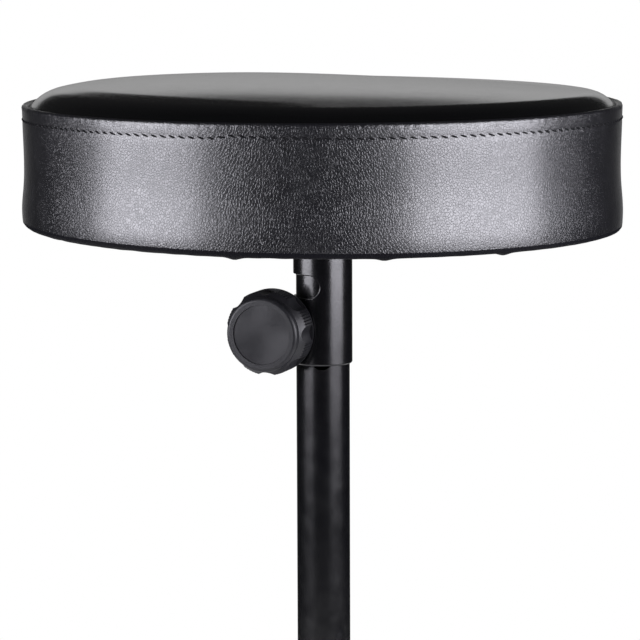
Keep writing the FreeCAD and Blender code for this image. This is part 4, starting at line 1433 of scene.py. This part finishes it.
@dataclass
class Studio:
    """The pale floor, the lamps, the white surroundings and the camera."""

    # The floor, in metres and in shares of its radius.
    floor_radius: float = 0.8
    floor_rings: tuple[float, ...] = (1.0, 0.7, 0.3)
    floor_columns: int = 96
    floor_near: float = 0.36
    floor_far: float = 0.72
    floor_colour: Colour = (0.80, 0.80, 0.80)
    floor_dark: Colour = (0.776, 0.776, 0.776)
    floor_grain: float = 0.08
    floor_roughness: float = 0.9
    floor_specular: float = 0.1
    # Even light, and what shows in reflections: a low bright wall behind the stool, and shade elsewhere.
    ambient: float = 0.25
    wall: float = 0.47
    wall_foot: float = 0.31
    wall_start: float = 0.87
    wall_end: float = 0.975
    wall_low: float = 0.168
    wall_high: float = 0.192
    shade: float = 0.018
    # The photograph's camera, in pixels, metres and degrees.
    focal_pixels: float = 2700.0
    distance: float = 1.280
    pitch: float = 8.42
    roll: float = -0.2
    target_height: float = 0.4262
    axis_shift: float = 2.9
    pixel_size: float = 0.4744 * MM
    sensor_width: float = 36.0
    softboxes: tuple[Softbox, ...] = (
        Softbox("left_softbox", turn=-65.0, distance=1.15, height=0.63, width=0.88, tall=0.70, power=12.7),
        Softbox("right_softbox", turn=57.0, distance=1.15, height=0.63, width=1.12, tall=0.70, power=16.9),
    )

    def build(self, top: bpy.types.Object) -> None:
        """Set the whole studio up.

        Args:
            top: the glossy top of the seat, which would mirror a lamp as a white patch from the side.
        """
        self.floor()
        self.surroundings()
        flagged = bpy.data.collections.new("flagged_from_lamps")
        flagged.objects.link(top)
        flagged.collection_objects[0].light_linking.link_state = "EXCLUDE"
        for softbox in self.softboxes:
            LOG.info("lamp %s", softbox.place(flagged).name)
        self.camera()
        bpy.context.scene.view_settings.view_transform = "Standard"

    def floor(self) -> None:
        """Lay a round floor that keeps the shadow and turns white towards its edge."""
        turn = even_turns(self.floor_columns)
        points = np.stack([np.cos(turn), np.sin(turn), np.zeros_like(turn)], axis=1)
        reach = self.floor_radius * np.array(self.floor_rings)
        rows = points[None] * reach[:, None, None]
        piece = grid_mesh("studio_floor", rows, Vector((0.0, 0.0, 0.0)))
        shader = Shader("pale_floor")
        place = shader.where()
        grain = shader.noise(place, self.floor_grain, detail=4.0)
        shader.set(
            colour=shader.tint(grain, self.floor_dark, self.floor_colour),
            roughness=self.floor_roughness,
            specular=self.floor_specular,
        )
        length = shader.add("ShaderNodeVectorMath", {}, operation="LENGTH")
        shader.tree.links.new(place, length.inputs[0])
        fade = shader.between(length.outputs["Value"], 0.0, 1.0, self.floor_near, self.floor_far)
        seen = self.seen(shader.tree)
        white = shader.add("ShaderNodeEmission", {"Strength": 1.0})
        mix = shader.add("ShaderNodeMixShader", {"Fac": shader.sums(fade, seen, "MULTIPLY")})
        shader.tree.links.new(shader.surface.outputs["BSDF"], mix.inputs[1])
        shader.tree.links.new(white.outputs["Emission"], mix.inputs[2])
        shader.tree.links.new(mix.outputs["Shader"], shader.output.inputs["Surface"])
        piece.data.materials.append(shader.material)

    @staticmethod
    def seen(tree: bpy.types.NodeTree) -> Socket:
        """Tell rays that show a thing, straight or mirrored or through glass, from rays that light one.

        Args:
            tree: the node tree to add to.

        Returns:
            1 for rays that show, 0 for others.
        """
        path = tree.nodes.new("ShaderNodeLightPath")
        total = path.outputs["Is Camera Ray"]
        for name in ("Is Glossy Ray", "Is Transmission Ray"):
            larger = tree.nodes.new("ShaderNodeMath")
            larger.operation = "MAXIMUM"
            tree.links.new(total, larger.inputs[0])
            tree.links.new(path.outputs[name], larger.inputs[1])
            total = larger.outputs["Value"]
        return total

    @staticmethod
    def ranged(
        tree: bpy.types.NodeTree,
        value: Socket,
        span: tuple[float, float],
        low: SocketValue,
        high: SocketValue,
    ) -> Socket:
        """Map a value smoothly between two levels.

        Args:
            tree: the node tree to add to.
            value: the value.
            span: where the change begins and ends.
            low: the level before it.
            high: the level after it.

        Returns:
            The level.
        """
        node = tree.nodes.new("ShaderNodeMapRange")
        node.interpolation_type = "SMOOTHSTEP"
        tree.links.new(value, node.inputs["Value"])
        ends = {"From Min": span[0], "From Max": span[1], "To Min": low, "To Max": high}
        for name, item in ends.items():
            if isinstance(item, Socket):
                tree.links.new(item, node.inputs[name])
            else:
                node.inputs[name].default_value = item
        return node.outputs["Result"]

    def surroundings(self) -> None:
        """Give the world: white to the camera, a bright low wall behind in reflections, and even light."""
        world = bpy.data.worlds.new("studio")
        bpy.context.scene.world = world
        world.use_nodes = True
        tree = world.node_tree
        tree.nodes.clear()
        output = tree.nodes.new("ShaderNodeOutputWorld")
        direction = tree.nodes.new("ShaderNodeTexCoord").outputs["Generated"]
        axes = tree.nodes.new("ShaderNodeSeparateXYZ")
        tree.links.new(direction, axes.inputs["Vector"])
        across, up = axes.outputs["Y"], axes.outputs["Z"]
        lit = self.ranged(tree, up, (0.0, self.wall_low), self.wall_foot, self.wall)
        behind = self.ranged(tree, across, (self.wall_start, self.wall_end), self.shade, lit)
        mirrored = self.ranged(tree, up, (self.wall_low, self.wall_high), behind, self.shade)
        path = tree.nodes.new("ShaderNodeLightPath")
        shown = self.ranged(tree, path.outputs["Is Camera Ray"], (0.0, 1.0), mirrored, 1.0)
        level = self.ranged(tree, self.seen(tree), (0.0, 1.0), self.ambient, shown)
        background = tree.nodes.new("ShaderNodeBackground")
        tree.links.new(level, background.inputs["Color"])
        tree.links.new(background.outputs["Background"], output.inputs["Surface"])

    def camera(self) -> None:
        """Set the camera where the photograph was taken from."""
        data = bpy.data.cameras.new("photo_camera")
        data.sensor_width = self.sensor_width
        data.sensor_fit = "HORIZONTAL"
        data.lens = data.sensor_width * self.focal_pixels / PICTURE_PIXELS
        camera = bpy.data.objects.new("photo_camera", data)
        bpy.context.scene.collection.objects.link(camera)
        pitch = math.radians(self.pitch)
        target = Vector((-self.axis_shift * self.pixel_size, 0.0, self.target_height))
        camera.location = target + self.distance * Vector((0.0, -math.cos(pitch), math.sin(pitch)))
        aim = (target - camera.location).to_track_quat("-Z", "Y").to_matrix()
        camera.rotation_mode = "QUATERNION"
        camera.rotation_quaternion = (aim @ Matrix.Rotation(math.radians(self.roll), 3, "Z")).to_quaternion()
        bpy.context.scene.camera = camera


def main() -> None:
    """Dress the stool from the hardware to the seat, then set the studio up."""
    logging.basicConfig(level=logging.INFO, format="%(name)s: %(message)s")
    hardware = Hardware()
    finishes = hardware.finishes()
    pieces = hardware.dress(finishes)
    pieces += SeatCover.from_frame().build(
        vinyl=finishes[Slot.VINYL],
        folded=FOLDED_VINYL.material(),
        stretched=STRETCHED_VINYL.material(),
        thread=SewingThread().material(),
    )
    pieces.append(DustCloth.from_frame().build(finishes[Slot.DUST_CLOTH]))
    for piece in pieces:
        LOG.info("piece %s", piece.name)
    Studio().build(bpy.data.objects["seat_top_panel"])


if __name__ == "__main__":
    main()
